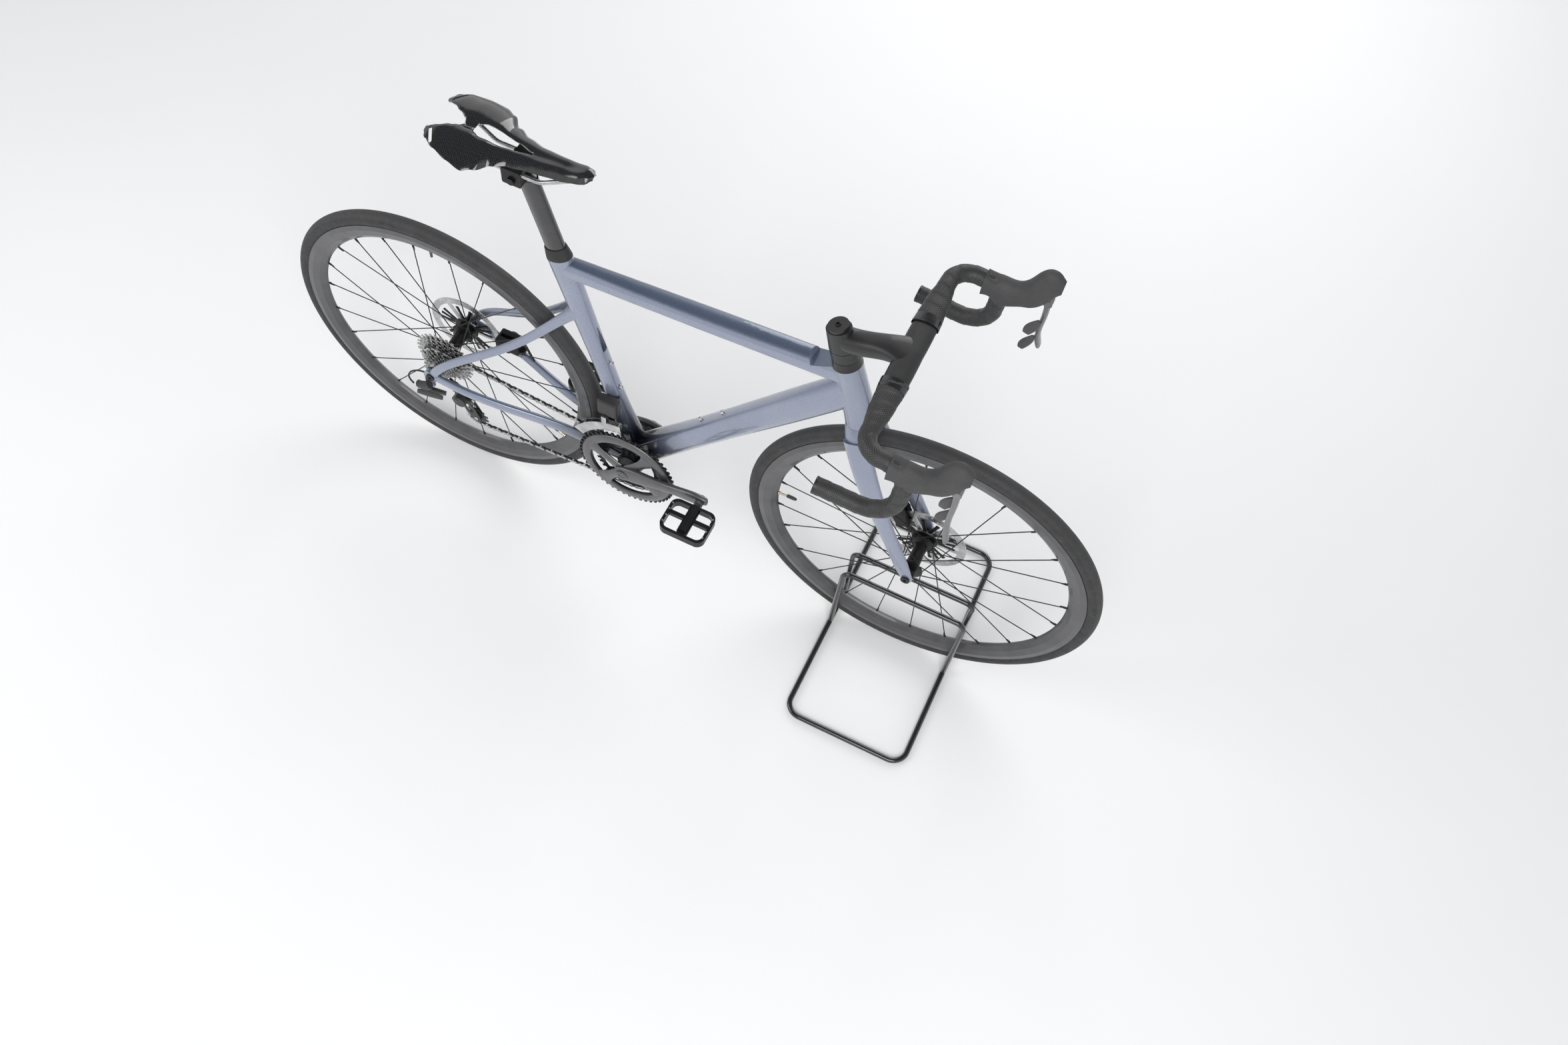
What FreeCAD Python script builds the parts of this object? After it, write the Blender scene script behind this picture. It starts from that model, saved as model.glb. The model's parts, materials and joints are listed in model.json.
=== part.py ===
import FreeCAD, Part
import math
import os
from FreeCAD import Vector as V

# Road bicycle held upright by a wire stand under its front wheel. Millimetres.
# +X forward, +Y to the rider's left, +Z up. Origin on the floor, midway between the axles.

# Overall geometry
WHEELBASE = 989.0
TYRE_RADIUS = 339.5
TYRE_WIDTH = 28.0
CHAINSTAY = 417.5
BB_DROP = 68.5
SEAT_ANGLE = 74.0
HEAD_ANGLE = 71.2
FORK_RAKE = 47.0
FORK_AXIS_LENGTH = 360.0
HEAD_TUBE = 132.0
SEAT_TUBE = 505.0

# Frame and fork tubes
BB_SHELL_R = 25.0
BB_SHELL_HALF = 36.0
BB_BORE_R = 20.5
SPINDLE_R = 12.0
HEAD_R = 24.0
STEERER_R = 14.3
HEADSET_R = 20.5
HEADSET_H = 8.0
FRONT_DROP_HALF = 50.0
REAR_DROP_HALF = 71.0
DROP_THICK = 9.0
AXLE_R = 6.0
POST_DEPTH = 38.0
POST_WIDTH = 25.0
POST_INSERT = 150.0
POST_TOP_Z = 912.0

# Wheels
RIM_OUTER_R = 316.0
RIM_DEPTH = 36.0
RIM_WIDTH = 26.0
SPOKES = 24
SPOKE_R = 1.0
ROTOR_R = 80.0
ROTOR_THICK = 1.8
ROTOR_FROM_DROP = 15.4
CALIPER_INNER_Y = 22.0

# Drive
PITCH = 12.7
ROLLER_R = 3.85
SEAT_R = 4.15
ROLLER_GAP = 0.15
CRANK_LENGTH = 172.5
CRANK_TILT = 12.5
BOLT_CIRCLE_R = 55.0
BIG_TEETH = 50
SMALL_TEETH = 34
SPROCKETS = (30, 27, 24, 21, 19, 17, 15, 14, 13, 12, 11)
SPROCKET_STEP = 3.72
CHAIN_SPROCKET = 4
CHAIN_Y = -41.0
BIG_RING_Y = -48.0
PULLEY_TEETH = 11
PULLEY_GAP = 60.0
CHAIN_LINKS = 100
GUIDE_DX = 38.0
GUIDE_DZ = -85.0

# Cockpit
STEM_REACH = 113.0
BAR_Z = 868.0
BAR_HALF = 188.0
BAR_R = 11.9
DROP_HALF = 206.0
BAR_REACH = 78.0
BAR_DROP = 120.0
LEVER_PIVOT_X = 151.0
LEVER_PIVOT_Z = 2.0
LEVER_BARREL_R = 7.0
LEVER_BARREL_HALF = 7.5
PADDLE_Y = 179.0
PADDLE_PIN_DROPS = (41.0, 78.0)
PADDLE_HALF_DEPTHS = (9.0, 8.0)
TAPE_THICK = 2.6
TAPE_START = 58.0
CAP_HEIGHT = 83.0

# Saddle
SADDLE_LENGTH = 272.0
SADDLE_WIDTH = 146.0
SADDLE_TOP_Z = 982.0
SADDLE_NOSE_X = -146.0
RAIL_R = 3.5
RAIL_HALF = 22.0
RAIL_Z = 937.0

# Stand
ROD_R = 5.5
STAND_LENGTH = 526.0
STAND_WIDTH = 250.0
STAND_OFFSET = 8.0
HOOP_HEIGHT = 200.0
HOOP_TOP_HALF = 24.0
HOOP_FOOT_HALF = 35.5
STAND_CORNER = 30.0

GAP = 0.4

REAR = V(-WHEELBASE / 2, 0, TYRE_RADIUS)
FRONT = V(WHEELBASE / 2, 0, TYRE_RADIUS)
BB = V(REAR.x + math.sqrt(CHAINSTAY ** 2 - BB_DROP ** 2), 0, TYRE_RADIUS - BB_DROP)
X, Y, Z = V(1, 0, 0), V(0, 1, 0), V(0, 0, 1)


def polar(angle, length=1.0):
    """Vector in the X-Z plane at an angle above +X."""
    a = math.radians(angle)
    return V(length * math.cos(a), 0, length * math.sin(a))


HEAD_DIR = polar(180 - HEAD_ANGLE)
HEAD_FRONT = polar(90 - HEAD_ANGLE)
AXIS_FOOT = FRONT - HEAD_FRONT * FORK_RAKE
HEAD_LOW = AXIS_FOOT + HEAD_DIR * FORK_AXIS_LENGTH
HEAD_TOP = HEAD_LOW + HEAD_DIR * HEAD_TUBE
SEAT_DIR = polar(180 - SEAT_ANGLE)
SEAT_FRONT = polar(90 - SEAT_ANGLE)
SEAT_TOP = BB + SEAT_DIR * SEAT_TUBE
BAR_CENTRE = V((HEAD_TOP + HEAD_DIR * 70).x + STEM_REACH, 0, BAR_Z)


def oval(centre, u, v, a, b, power=2.0, count=16):
    """Closed smooth wire: a superellipse with half sizes a along u and b along v."""
    points = []
    for i in range(count):
        t = 2 * math.pi * i / count
        c, s = math.cos(t), math.sin(t)
        p = math.copysign(abs(c) ** (2 / power), c)
        q = math.copysign(abs(s) ** (2 / power), s)
        points.append(centre + u * (a * p) + v * (b * q))
    curve = Part.BSplineCurve()
    curve.interpolate(points, PeriodicFlag=True)
    return Part.Wire([curve.toShape()])


def loft(wires, ruled=False):
    return Part.makeLoft(wires, True, ruled)


def blade(stations, across=Y, power=2.2):
    """Loft through (centre, half depth, half width) stations along their own line."""
    wires = []
    last = len(stations) - 1
    for i, (centre, a, b) in enumerate(stations):
        before = stations[max(i - 1, 0)][0]
        after = stations[min(i + 1, last)][0]
        along = (after - before).normalize()
        u = across.cross(along).normalize()
        v = along.cross(u)
        wires.append(oval(centre, u, v, a, b, power))
    return loft(wires)


def cyl(radius, start, end):
    axis = end - start
    return Part.makeCylinder(radius, axis.Length, start, axis)


def tube(outer, inner, start, end):
    axis = (end - start).normalize()
    return cyl(outer, start, end).cut(cyl(inner, start - axis, end + axis))


def box(low, high):
    return Part.makeBox(high.x - low.x, high.y - low.y, high.z - low.z, low)


def fuse(shapes):
    return shapes[0].multiFuse(shapes[1:]).removeSplitter() if len(shapes) > 1 else shapes[0]


def moved(shape, offset):
    copy = shape.copy()
    copy.translate(offset)
    return copy


def rounded_edges(points, radii):
    """Straight runs joined by tangent arcs of the given corner radii."""
    count = len(points)
    starts, ends, arcs = {}, {}, {}
    for i in range(count):
        if i in (0, count - 1):
            starts[i] = ends[i] = points[i]
            continue
        p = points[i]
        back = (points[i - 1] - p).normalize()
        on = (points[i + 1] - p).normalize()
        half = back.getAngle(on) / 2
        run = radii[i] / math.tan(half)
        middle = (back + on).normalize()
        starts[i] = p + back * run
        ends[i] = p + on * run
        reach = radii[i] / math.sin(half) - radii[i]
        arcs[i] = Part.Arc(starts[i], p + middle * reach, ends[i]).toShape()
    edges = []
    for i in range(count - 1):
        j = i + 1
        if i in arcs:
            edges.append(arcs[i])
        if (starts[j] - ends[i]).Length > 0.01:
            edges.append(Part.LineSegment(ends[i], starts[j]).toShape())
    return edges


def pipe(points, radii, radius):
    """Round rod of one radius along a rounded path."""
    path = Part.Wire(rounded_edges(points, radii))
    first = path.OrderedEdges[0]
    start = first.valueAt(first.FirstParameter)
    along = first.tangentAt(first.FirstParameter)
    if first.Orientation == "Reversed":
        start = first.valueAt(first.LastParameter)
        along = first.tangentAt(first.LastParameter) * -1
    profile = Part.Wire([Part.Circle(start, along, radius).toShape()])
    return path.makePipeShell([profile], True, True)


def ring_of(profile, centre):
    """Turn (radius, y) points about the Y axis through centre."""
    points = [V(centre.x, centre.y + y, centre.z + r) for r, y in profile]
    face = Part.Face(Part.makePolygon(points + [points[0]]))
    return face.revolve(V(centre.x, 0, centre.z), Y, 360)


def pitch_radius(teeth):
    return PITCH / (2 * math.sin(math.pi / teeth))


def toothed(teeth, centre, y, thick, phase, bore_r):
    """Sprocket with round roller seats. One seat lies at the phase angle, in radians."""
    pitch_r = pitch_radius(teeth)
    tip = pitch_r + 1.9
    spread = math.acos((tip ** 2 + pitch_r ** 2 - SEAT_R ** 2) / (2 * tip * pitch_r))
    step = 2 * math.pi / teeth

    def at(r, a):
        return V(centre.x + r * math.cos(a), y - thick / 2, centre.z + r * math.sin(a))

    edges = []
    for k in range(teeth):
        a = phase + k * step
        edges.append(Part.Arc(at(tip, a - spread), at(pitch_r - SEAT_R, a), at(tip, a + spread)).toShape())
        nxt = a + step
        edges.append(Part.Arc(at(tip, a + spread), at(tip, a + step / 2), at(tip, nxt - spread)).toShape())
    face = Part.Face(Part.Wire(edges))
    disc = face.extrude(V(0, thick, 0))
    return disc.cut(cyl(bore_r, V(centre.x, y - 9, centre.z), V(centre.x, y + 9, centre.z)))


def relieved(shape):
    """Teeth cut clear of the rollers that are just entering or leaving."""
    for p in CHAIN:
        roller = cyl(ROLLER_R + ROLLER_GAP, p - Y * 1.3, p + Y * 1.3)
        if shape.BoundBox.intersect(roller.BoundBox) and shape.common(roller).Volume > 0:
            shape = shape.cut(roller)
    return shape


def chain_route(cage_angle):
    """Spans and wraps of the chain as (kind, data, pitches), starting on top of the ring."""
    cassette_r = pitch_radius(SPROCKETS[CHAIN_SPROCKET])
    ring_r = pitch_radius(SMALL_TEETH)
    pulley_r = pitch_radius(PULLEY_TEETH)
    guide = V(REAR.x + GUIDE_DX, 0, REAR.z + GUIDE_DZ)
    tension = guide + polar(cage_angle, PULLEY_GAP)
    # wheel order along the chain, with +1 where it turns anticlockwise seen from the left of +X
    wheels = [
        (BB, ring_r, 1, SMALL_TEETH),
        (V(REAR.x, 0, REAR.z), cassette_r, 1, SPROCKETS[CHAIN_SPROCKET]),
        (guide, pulley_r, -1, PULLEY_TEETH),
        (tension, pulley_r, 1, PULLEY_TEETH),
    ]
    lines = []
    for i, (c1, r1, s1, _) in enumerate(wheels):
        c2, r2, s2, _ = wheels[(i + 1) % 4]
        d = V(c2.x - c1.x, 0, c2.z - c1.z)
        length = d.Length
        base = math.atan2(d.z, d.x)
        signed1, signed2 = r1 * s1, r2 * s2
        tilt = math.acos((signed1 - signed2) / length)
        a = base - tilt
        n = V(math.cos(a), 0, math.sin(a))
        lines.append((V(c1.x, 0, c1.z) + n * signed1, V(c2.x, 0, c2.z) + n * signed2))
    route = []
    for i, (c, r, s, teeth) in enumerate(wheels):
        arrive = lines[i - 1][1]
        leave = lines[i][0]
        a0 = math.atan2(arrive.z - c.z, arrive.x - c.x)
        a1 = math.atan2(leave.z - c.z, leave.x - c.x)
        turn = (a1 - a0) * s % (2 * math.pi)
        route.append(("wrap", (c, r, s, a0), turn * teeth / (2 * math.pi)))
        route.append(("span", lines[i], (lines[i][1] - lines[i][0]).Length / PITCH))
    return route, guide, tension


def solve_cage():
    """Cage angle at which the chain has exactly CHAIN_LINKS pitches."""
    low, high = -150.0, 10.0

    def excess(angle):
        return sum(item[2] for item in chain_route(angle)[0]) - CHAIN_LINKS

    for _ in range(50):
        mid = (low + high) / 2
        if excess(mid) > 0:
            low = mid
        else:
            high = mid
    return (low + high) / 2


CAGE_ANGLE = solve_cage()
ROUTE, GUIDE, TENSION = chain_route(CAGE_ANGLE)


def chain_points():
    """Roller centres, one per pitch, and the angle of a roller on each wheel."""
    points, phases = [], []
    done = 0.0
    index = 0
    for kind, data, pitches in ROUTE:
        while index < done + pitches - 1e-6 and index < CHAIN_LINKS:
            part = index - done
            if kind == "wrap":
                c, r, s, a0 = data
                teeth = round(math.pi / math.asin(PITCH / (2 * r)))
                a = a0 + s * part * 2 * math.pi / teeth
                points.append(V(c.x + r * math.cos(a), CHAIN_Y, c.z + r * math.sin(a)))
                if len(phases) * 2 <= ROUTE.index((kind, data, pitches)):
                    phases.append(a)
            else:
                start, end = data
                p = start + (end - start).normalize() * (part * PITCH)
                points.append(V(p.x, CHAIN_Y, p.z))
            index += 1
        done += pitches
    return points, phases


CHAIN, PHASES = chain_points()


def front_frame():
    bottom = BB + polar(49.7) * 8
    d = polar(49.7)
    down_end = HEAD_LOW + HEAD_DIR * (HEAD_TUBE * 0.56)
    down = blade([(bottom, 29, 31), (BB + d * 110, 26, 27), (BB + d * 330, 26, 24), (down_end - d * 20, 29, 21),
                  (down_end, 29, 20)], power=2.6)
    seat = blade([(BB, 25, 31), (BB + SEAT_DIR * 90, 19, 21), (BB + SEAT_DIR * 230, 17, 17),
                  (BB + SEAT_DIR * (SEAT_TUBE - 110), 21, 17), (SEAT_TOP, 24, 17)])
    top_start = BB + SEAT_DIR * (SEAT_TUBE - 20)
    top_end = HEAD_LOW + HEAD_DIR * (HEAD_TUBE - 23)
    top = blade([(top_start, 18, 16), (top_start + (top_end - top_start) * 0.35, 17, 19),
                 (top_start + (top_end - top_start) * 0.8, 19, 20), (top_end, 21, 19)], power=2.6)
    head = loft([oval(HEAD_LOW, HEAD_FRONT, Y, 28, 26), oval(HEAD_LOW + HEAD_DIR * 50, HEAD_FRONT, Y, 27, 22),
                 oval(HEAD_TOP, HEAD_FRONT, Y, 25, HEAD_R)])
    shell = cyl(BB_SHELL_R + 3, BB - Y * BB_SHELL_HALF, BB + Y * BB_SHELL_HALF)
    frame = fuse([down, seat, top, head, shell])
    frame = frame.cut(cyl(BB_BORE_R, BB - Y * 60, BB + Y * 60))
    frame = frame.cut(cyl(STEERER_R + 3, HEAD_LOW - HEAD_DIR * 5, HEAD_TOP + HEAD_DIR * 5))
    for seat_at, way in ((HEAD_LOW, 1), (HEAD_TOP, -1)):
        inside = seat_at + HEAD_DIR * (HEADSET_H * way)
        frame = frame.cut(cyl(HEADSET_R, seat_at - HEAD_DIR * (5 * way), inside))
    frame = frame.cut(cyl(60, SEAT_TOP, SEAT_TOP + SEAT_DIR * 40))
    frame = frame.cut(cyl(60, HEAD_TOP, HEAD_TOP + HEAD_DIR * 40))
    frame = frame.cut(post_blade(GAP, SEAT_TUBE - POST_INSERT - 70, SEAT_TUBE + 20))
    for hole in bottle_places():
        frame = frame.cut(cyl(2.5, hole[0] - hole[1] * 14, hole[0] + hole[1] * 20))
    return frame


def post_blade(grow, low, high):
    """Length of the seatpost's section between two heights along the seat tube."""
    a, b = POST_DEPTH / 2 + grow, POST_WIDTH / 2 + grow
    return loft([oval(BB + SEAT_DIR * low, SEAT_FRONT, Y, a, b), oval(BB + SEAT_DIR * high, SEAT_FRONT, Y, a, b)])


def bottle_places():
    """Bottle boss centres on the tube faces and their outward directions."""
    up = polar(49.7)
    out = polar(49.7 + 90)
    places = []
    for along in (232, 296):
        places.append((BB + up * along + out * 25.5, out))
    for along in (188, 252):
        places.append((BB + SEAT_DIR * along + SEAT_FRONT * 17, SEAT_FRONT))
    return places


def bottle_bolts():
    bolts = []
    for place, out in bottle_places():
        shank = cyl(2.4, place - out * 12, place + out * 1.5)
        head = cyl(4.4, place + out * 1.0, place + out * 5.0).cut(cyl(2.0, place + out * 2.5, place + out * 6))
        bolts.append(shank.fuse(head))
    return Part.makeCompound(bolts)


def rear_dropout(side):
    inner = side * REAR_DROP_HALF
    outer = side * (REAR_DROP_HALF + DROP_THICK)
    disc = cyl(15, V(REAR.x, inner, REAR.z), V(REAR.x, outer, REAR.z))
    return disc


def chain_stay(side):
    stations = [
        (V(BB.x - 6, side * 25, BB.z + 3), 19, 10),
        (V(BB.x - 60, side * 28.5, BB.z + 6), 17, 6.5),
        (V(BB.x - 120, side * 31, BB.z + 13), 15, 6.5),
        (V(BB.x - 250, side * 55, BB.z + 37), 12, 7),
        (V(REAR.x + 75, side * 71, REAR.z - 13), 11, 6.5),
        (V(REAR.x, side * (REAR_DROP_HALF + 4.6), REAR.z), 11, 4.5),
    ]
    return blade(stations)


def chain_stays(frame):
    parts = []
    for side in (-1, 1):
        stay = chain_stay(side).cut(cyl(BB_BORE_R + 3, BB - Y * 60, BB + Y * 60))
        stay = fuse([stay, rear_dropout(side)])
        if side < 0:
            ear = box(V(REAR.x - 17, -REAR_DROP_HALF - 6, REAR.z - 36), V(REAR.x + 1, -REAR_DROP_HALF, REAR.z))
            stay = stay.fuse(ear)
        else:
            foot = box(V(REAR.x + 74, 47, REAR.z - 9), V(REAR.x + 128, 70, REAR.z + 6))
            stay = stay.fuse(foot.cut(wheel_space(REAR, 55.6)))
        stay = stay.cut(cyl(AXLE_R, V(REAR.x, side * 60, REAR.z), V(REAR.x, side * 95, REAR.z)))
        inner = cyl(90, V(REAR.x, -REAR_DROP_HALF, REAR.z), V(REAR.x, REAR_DROP_HALF, REAR.z))
        wide = box(V(REAR.x - 90, -REAR_DROP_HALF, REAR.z - 60), V(REAR.x + 16, REAR_DROP_HALF, REAR.z + 60))
        stay = stay.cut(inner.common(wide))
        parts.append(stay.cut(frame))
    return Part.makeCompound(parts)


def wheel_space(axle, y):
    """Room that a brake rotor sweeps."""
    half = ROTOR_THICK / 2 + 1.5
    return cyl(ROTOR_R + 2.5, V(axle.x, y - half, axle.z), V(axle.x, y + half, axle.z))


def seat_stays(frame, chain):
    parts = []
    joint = BB + SEAT_DIR * (SEAT_TUBE - 118)
    for side in (-1, 1):
        stations = [
            (V(joint.x, side * 11, joint.z), 13, 6),
            (V(joint.x - 40, side * 22, joint.z - 42), 10, 5.5),
            (V(joint.x - 150, side * 47, joint.z - 158), 9, 5.5),
            (V(REAR.x + 30, side * 74, REAR.z + 42), 9, 4.6),
            (V(REAR.x + 6, side * (REAR_DROP_HALF + 5.2), REAR.z + 8), 9, 4.5),
        ]
        stay = blade(stations)
        stay = stay.cut(frame).cut(chain)
        parts.append(max(stay.Solids, key=lambda s: s.Volume))
    bridge_at = V(joint.x - 26, 0, joint.z - 24)
    bridge = cyl(5.0, bridge_at - Y * 17, bridge_at + Y * 17)
    bridge = bridge.cut(frame)
    solid = fuse([parts[0], parts[1], max(bridge.Solids, key=lambda s: s.Volume)])
    return solid


def bottom_bracket():
    cups = []
    for side in (-1, 1):
        start, end = BB + Y * (side * 24), BB + Y * (side * (BB_SHELL_HALF + 3))
        cup = tube(BB_BORE_R, SPINDLE_R + 0.05, start, end)
        lip = tube(BB_SHELL_R, SPINDLE_R + 0.05, BB + Y * (side * BB_SHELL_HALF), end)
        cups.append(cup.fuse(lip))
    return Part.makeCompound(cups)


def headset_bearings():
    low = tube(HEADSET_R, STEERER_R + 0.05, HEAD_LOW, HEAD_LOW + HEAD_DIR * HEADSET_H)
    high = tube(HEADSET_R, STEERER_R + 0.05, HEAD_TOP - HEAD_DIR * HEADSET_H, HEAD_TOP)
    return Part.makeCompound([low, high])


def seat_clamp_cover():
    a, b = 24, 17
    outer = loft([oval(SEAT_TOP, SEAT_FRONT, Y, a, b, 2.2), oval(SEAT_TOP + SEAT_DIR * 8, SEAT_FRONT, Y, a - 0.5, b - 0.5),
                  oval(SEAT_TOP + SEAT_DIR * 22, SEAT_FRONT, Y, a - 3, b - 3)])
    return outer.cut(post_blade(GAP, SEAT_TUBE - 5, SEAT_TUBE + 40))


def thru_axle(axle, half, thick):
    start, end = V(axle.x, -half - thick, axle.z), V(axle.x, half + thick, axle.z)
    rod = cyl(AXLE_R, start, end)
    head = cyl(8.5, start - Y * 3, start).cut(cyl(3, start - Y * 4, start - Y * 0.5))
    return rod.fuse(head)


def caliper(centre, angle, y, foot_depth):
    """Two-piston brake body, lying along the angle, with a slot for the rotor."""
    body = Part.makeBox(52, 34, 26, V(-26, -17, -13))
    body = body.makeFillet(4, body.Edges)
    bulge = cyl(11.5, V(0, -19, -1), V(0, 19, -1))
    feet = Part.makeBox(66, 14, foot_depth, V(-33, -7, -13 - foot_depth + 6))
    shape = fuse([body, bulge, feet])
    shape = shape.cut(Part.makeBox(40, 8, 19, V(-20, -4, -4)))
    shape.rotate(V(0, 0, 0), Y, -angle)
    shape.translate(V(centre.x, y, centre.z))
    return shape


def rear_caliper(stays):
    place = V(REAR.x + 101, 0, REAR.z + 16)
    body = caliper(place, 0, REAR_DROP_HALF - ROTOR_FROM_DROP, 6)
    body = body.cut(wheel_space(REAR, REAR_DROP_HALF - ROTOR_FROM_DROP)).cut(stays)
    return max(body.Solids, key=lambda s: s.Volume)


def front_caliper(fork):
    place = FRONT + polar(137, 76)
    body = caliper(place, 118 - 180, FRONT_DROP_HALF - ROTOR_FROM_DROP, 6)
    body = body.cut(wheel_space(FRONT, FRONT_DROP_HALF - ROTOR_FROM_DROP)).cut(fork)
    body = body.cut(cyl(200, FRONT, FRONT + Y * CALIPER_INNER_Y))
    return max(body.Solids, key=lambda s: s.Volume)


def fork():
    crown = loft([oval(HEAD_LOW - HEAD_DIR * 0.6, HEAD_FRONT, Y, 28, 26),
                  oval(HEAD_LOW - HEAD_DIR * 16, HEAD_FRONT, Y, 29, 34, 2.4),
                  oval(HEAD_LOW - HEAD_DIR * 40, HEAD_FRONT, Y, 27, 41, 2.6)])
    legs = []
    for side in (-1, 1):
        tip = V(FRONT.x - 3, side * (FRONT_DROP_HALF + 5.3), FRONT.z + 6)
        low = HEAD_LOW - HEAD_DIR * 22
        span = tip - V(low.x, tip.y, low.z)
        stations = [
            (V(low.x, side * 31, low.z), 24, 9.5),
            (V(low.x + span.x * 0.12, side * 36, low.z + span.z * 0.15), 23, 9),
            (V(low.x + span.x * 0.42, side * 48, low.z + span.z * 0.45), 19, 7.5),
            (V(low.x + span.x * 0.76, side * 54, low.z + span.z * 0.76), 15, 6.5),
            (tip, 12, 5),
            (tip + (tip - V(low.x + span.x * 0.76, tip.y, low.z + span.z * 0.76)).normalize() * 16, 9, 4.6),
        ]
        leg = blade(stations, power=2.4)
        legs.append(leg)
    shape = fuse([crown] + legs)
    clear = TYRE_RADIUS + 7
    shape = shape.cut(cyl(clear, V(FRONT.x, -21, FRONT.z), V(FRONT.x, 21, FRONT.z)))
    shape = shape.cut(cyl(30, V(FRONT.x, -FRONT_DROP_HALF, FRONT.z), V(FRONT.x, FRONT_DROP_HALF, FRONT.z)))
    top = HEAD_TOP + HEAD_DIR * (CAP_HEIGHT - 6)
    shape = shape.fuse(cyl(STEERER_R, HEAD_LOW - HEAD_DIR * 8, top))
    shape = shape.cut(cyl(AXLE_R, V(FRONT.x, -90, FRONT.z), V(FRONT.x, 90, FRONT.z)))
    return shape.removeSplitter()


def stem_spacers():
    """Headset cover, two spacers and the top cap, all round the steerer."""
    pieces = []
    base = HEAD_TOP + HEAD_DIR * 0.6
    cover = loft([oval(base, HEAD_FRONT, Y, 25, 24), oval(base + HEAD_DIR * 14, HEAD_FRONT, Y, 24, 21)])
    pieces.append(cover.cut(cyl(STEERER_R, base - HEAD_DIR, base + HEAD_DIR * 20)))
    for level in (14.4, 24.6):
        low = base + HEAD_DIR * level
        ring = loft([oval(low, HEAD_FRONT, Y, 24, 20.5), oval(low + HEAD_DIR * 9.8, HEAD_FRONT, Y, 24, 20)])
        pieces.append(ring.cut(cyl(STEERER_R, low - HEAD_DIR, low + HEAD_DIR * 20)))
    cap_low = HEAD_TOP + HEAD_DIR * (CAP_HEIGHT - 5.6)
    cap = cyl(17, cap_low, cap_low + HEAD_DIR * 5.6)
    pieces.append(cap.cut(cyl(3, cap_low + HEAD_DIR * 2, cap_low + HEAD_DIR * 9)))
    return Part.makeCompound(pieces)


def bar_shape(grow, side):
    """Half of the handlebar with its section grown by a wrap thickness."""
    c = BAR_CENTRE
    tops = loft([oval(V(c.x, 0, c.z), X, Z, 20 + grow, 10.5 + grow),
                 oval(V(c.x, side * 60, c.z), X, Z, 20 + grow, 10 + grow),
                 oval(V(c.x, side * 110, c.z), X, Z, 17 + grow, 10.5 + grow),
                 oval(V(c.x, side * (BAR_HALF - 38), c.z), X, Z, BAR_R + 0.5 + grow, BAR_R + 0.5 + grow)])
    corner = V(c.x, side * BAR_HALF, c.z)
    reach = V(c.x + BAR_REACH, side * (BAR_HALF + 3), c.z - 1)
    low = V(c.x + BAR_REACH - 5, side * (DROP_HALF - 4), c.z - BAR_DROP)
    end = V(c.x - 48, side * DROP_HALF, c.z - BAR_DROP + 10)
    start = V(c.x, side * (BAR_HALF - 45), c.z)
    hook = pipe([start, corner, reach, low, end], [0, 34, 38, 52, 0], BAR_R + grow)
    return fuse([tops, hook])


def bar_stem():
    halves = [bar_shape(0, 1), bar_shape(0, -1)]
    clamp_low = HEAD_TOP + HEAD_DIR * 36
    clamp_high = HEAD_TOP + HEAD_DIR * (CAP_HEIGHT - 6)
    post = loft([oval(clamp_low, HEAD_FRONT, Y, 24, 20), oval(clamp_high, HEAD_FRONT, Y, 21, 18)])
    middle = (clamp_low + clamp_high) * 0.5
    c = BAR_CENTRE
    arm = blade([(middle + X * 2, 19, 18), (middle + (c - middle) * 0.5, 16, 20), (c - X * 14, 12, 27), (c, 10, 34)],
                power=2.6)
    shape = fuse([post, arm] + halves)
    shape = shape.cut(cyl(45, HEAD_TOP, clamp_low - HEAD_DIR * 0.2))
    return shape.cut(cyl(STEERER_R, clamp_low - HEAD_DIR * 5, clamp_high + HEAD_DIR * 5))


HOOD_STATIONS = (
    (48, -8, 22, 17), (72, -12, 26, 17), (98, -9, 24, 16), (112, 1, 27, 15.5),
    (124, 14.5, 37.5, 15), (139, 27, 39, 14.5), (152, 36, 28, 12.5), (164, 41, 13, 7),
)


def hood_outer(side, grow):
    """Brake hood outline: stations of (forward, up, half height, half width) from the bar."""
    wires = []
    for forward, up, high, wide in HOOD_STATIONS:
        centre = V(BAR_CENTRE.x + forward + (grow * 0.4 if forward > 150 else 0), side * (BAR_HALF + 2.5),
                   BAR_CENTRE.z + up)
        wires.append(oval(centre, Z, Y, high + grow, wide + grow, 2.4))
    return loft(wires)


def biggest(shape):
    return max(shape.Solids, key=lambda s: s.Volume)


def lever_pivot(side):
    return BAR_CENTRE + V(LEVER_PIVOT_X, side * (BAR_HALF + 3), LEVER_PIVOT_Z)


def lever_slot(side):
    """Room for the lever's barrel and the root of its blade."""
    pivot = lever_pivot(side)
    half = LEVER_BARREL_HALF + 1.3
    barrel = cyl(LEVER_BARREL_R + 1.2, pivot - Y * half, pivot + Y * half)
    return barrel.fuse(box(pivot + V(-10, -half, -60), pivot + V(20, half, 0)))


def lever_brackets():
    parts = []
    for side in (-1, 1):
        solid = hood_outer(side, -2.6).cut(bar_shape(0, side)).cut(lever_slot(side))
        parts.append(biggest(solid))
    return Part.makeCompound(parts)


def lever_hoods():
    parts = []
    for side in (-1, 1):
        shell = hood_outer(side, 0).cut(hood_outer(side, -2.6)).cut(bar_shape(0, side))
        parts.append(biggest(shell.cut(lever_slot(side))))
    return Part.makeCompound(parts)


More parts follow.
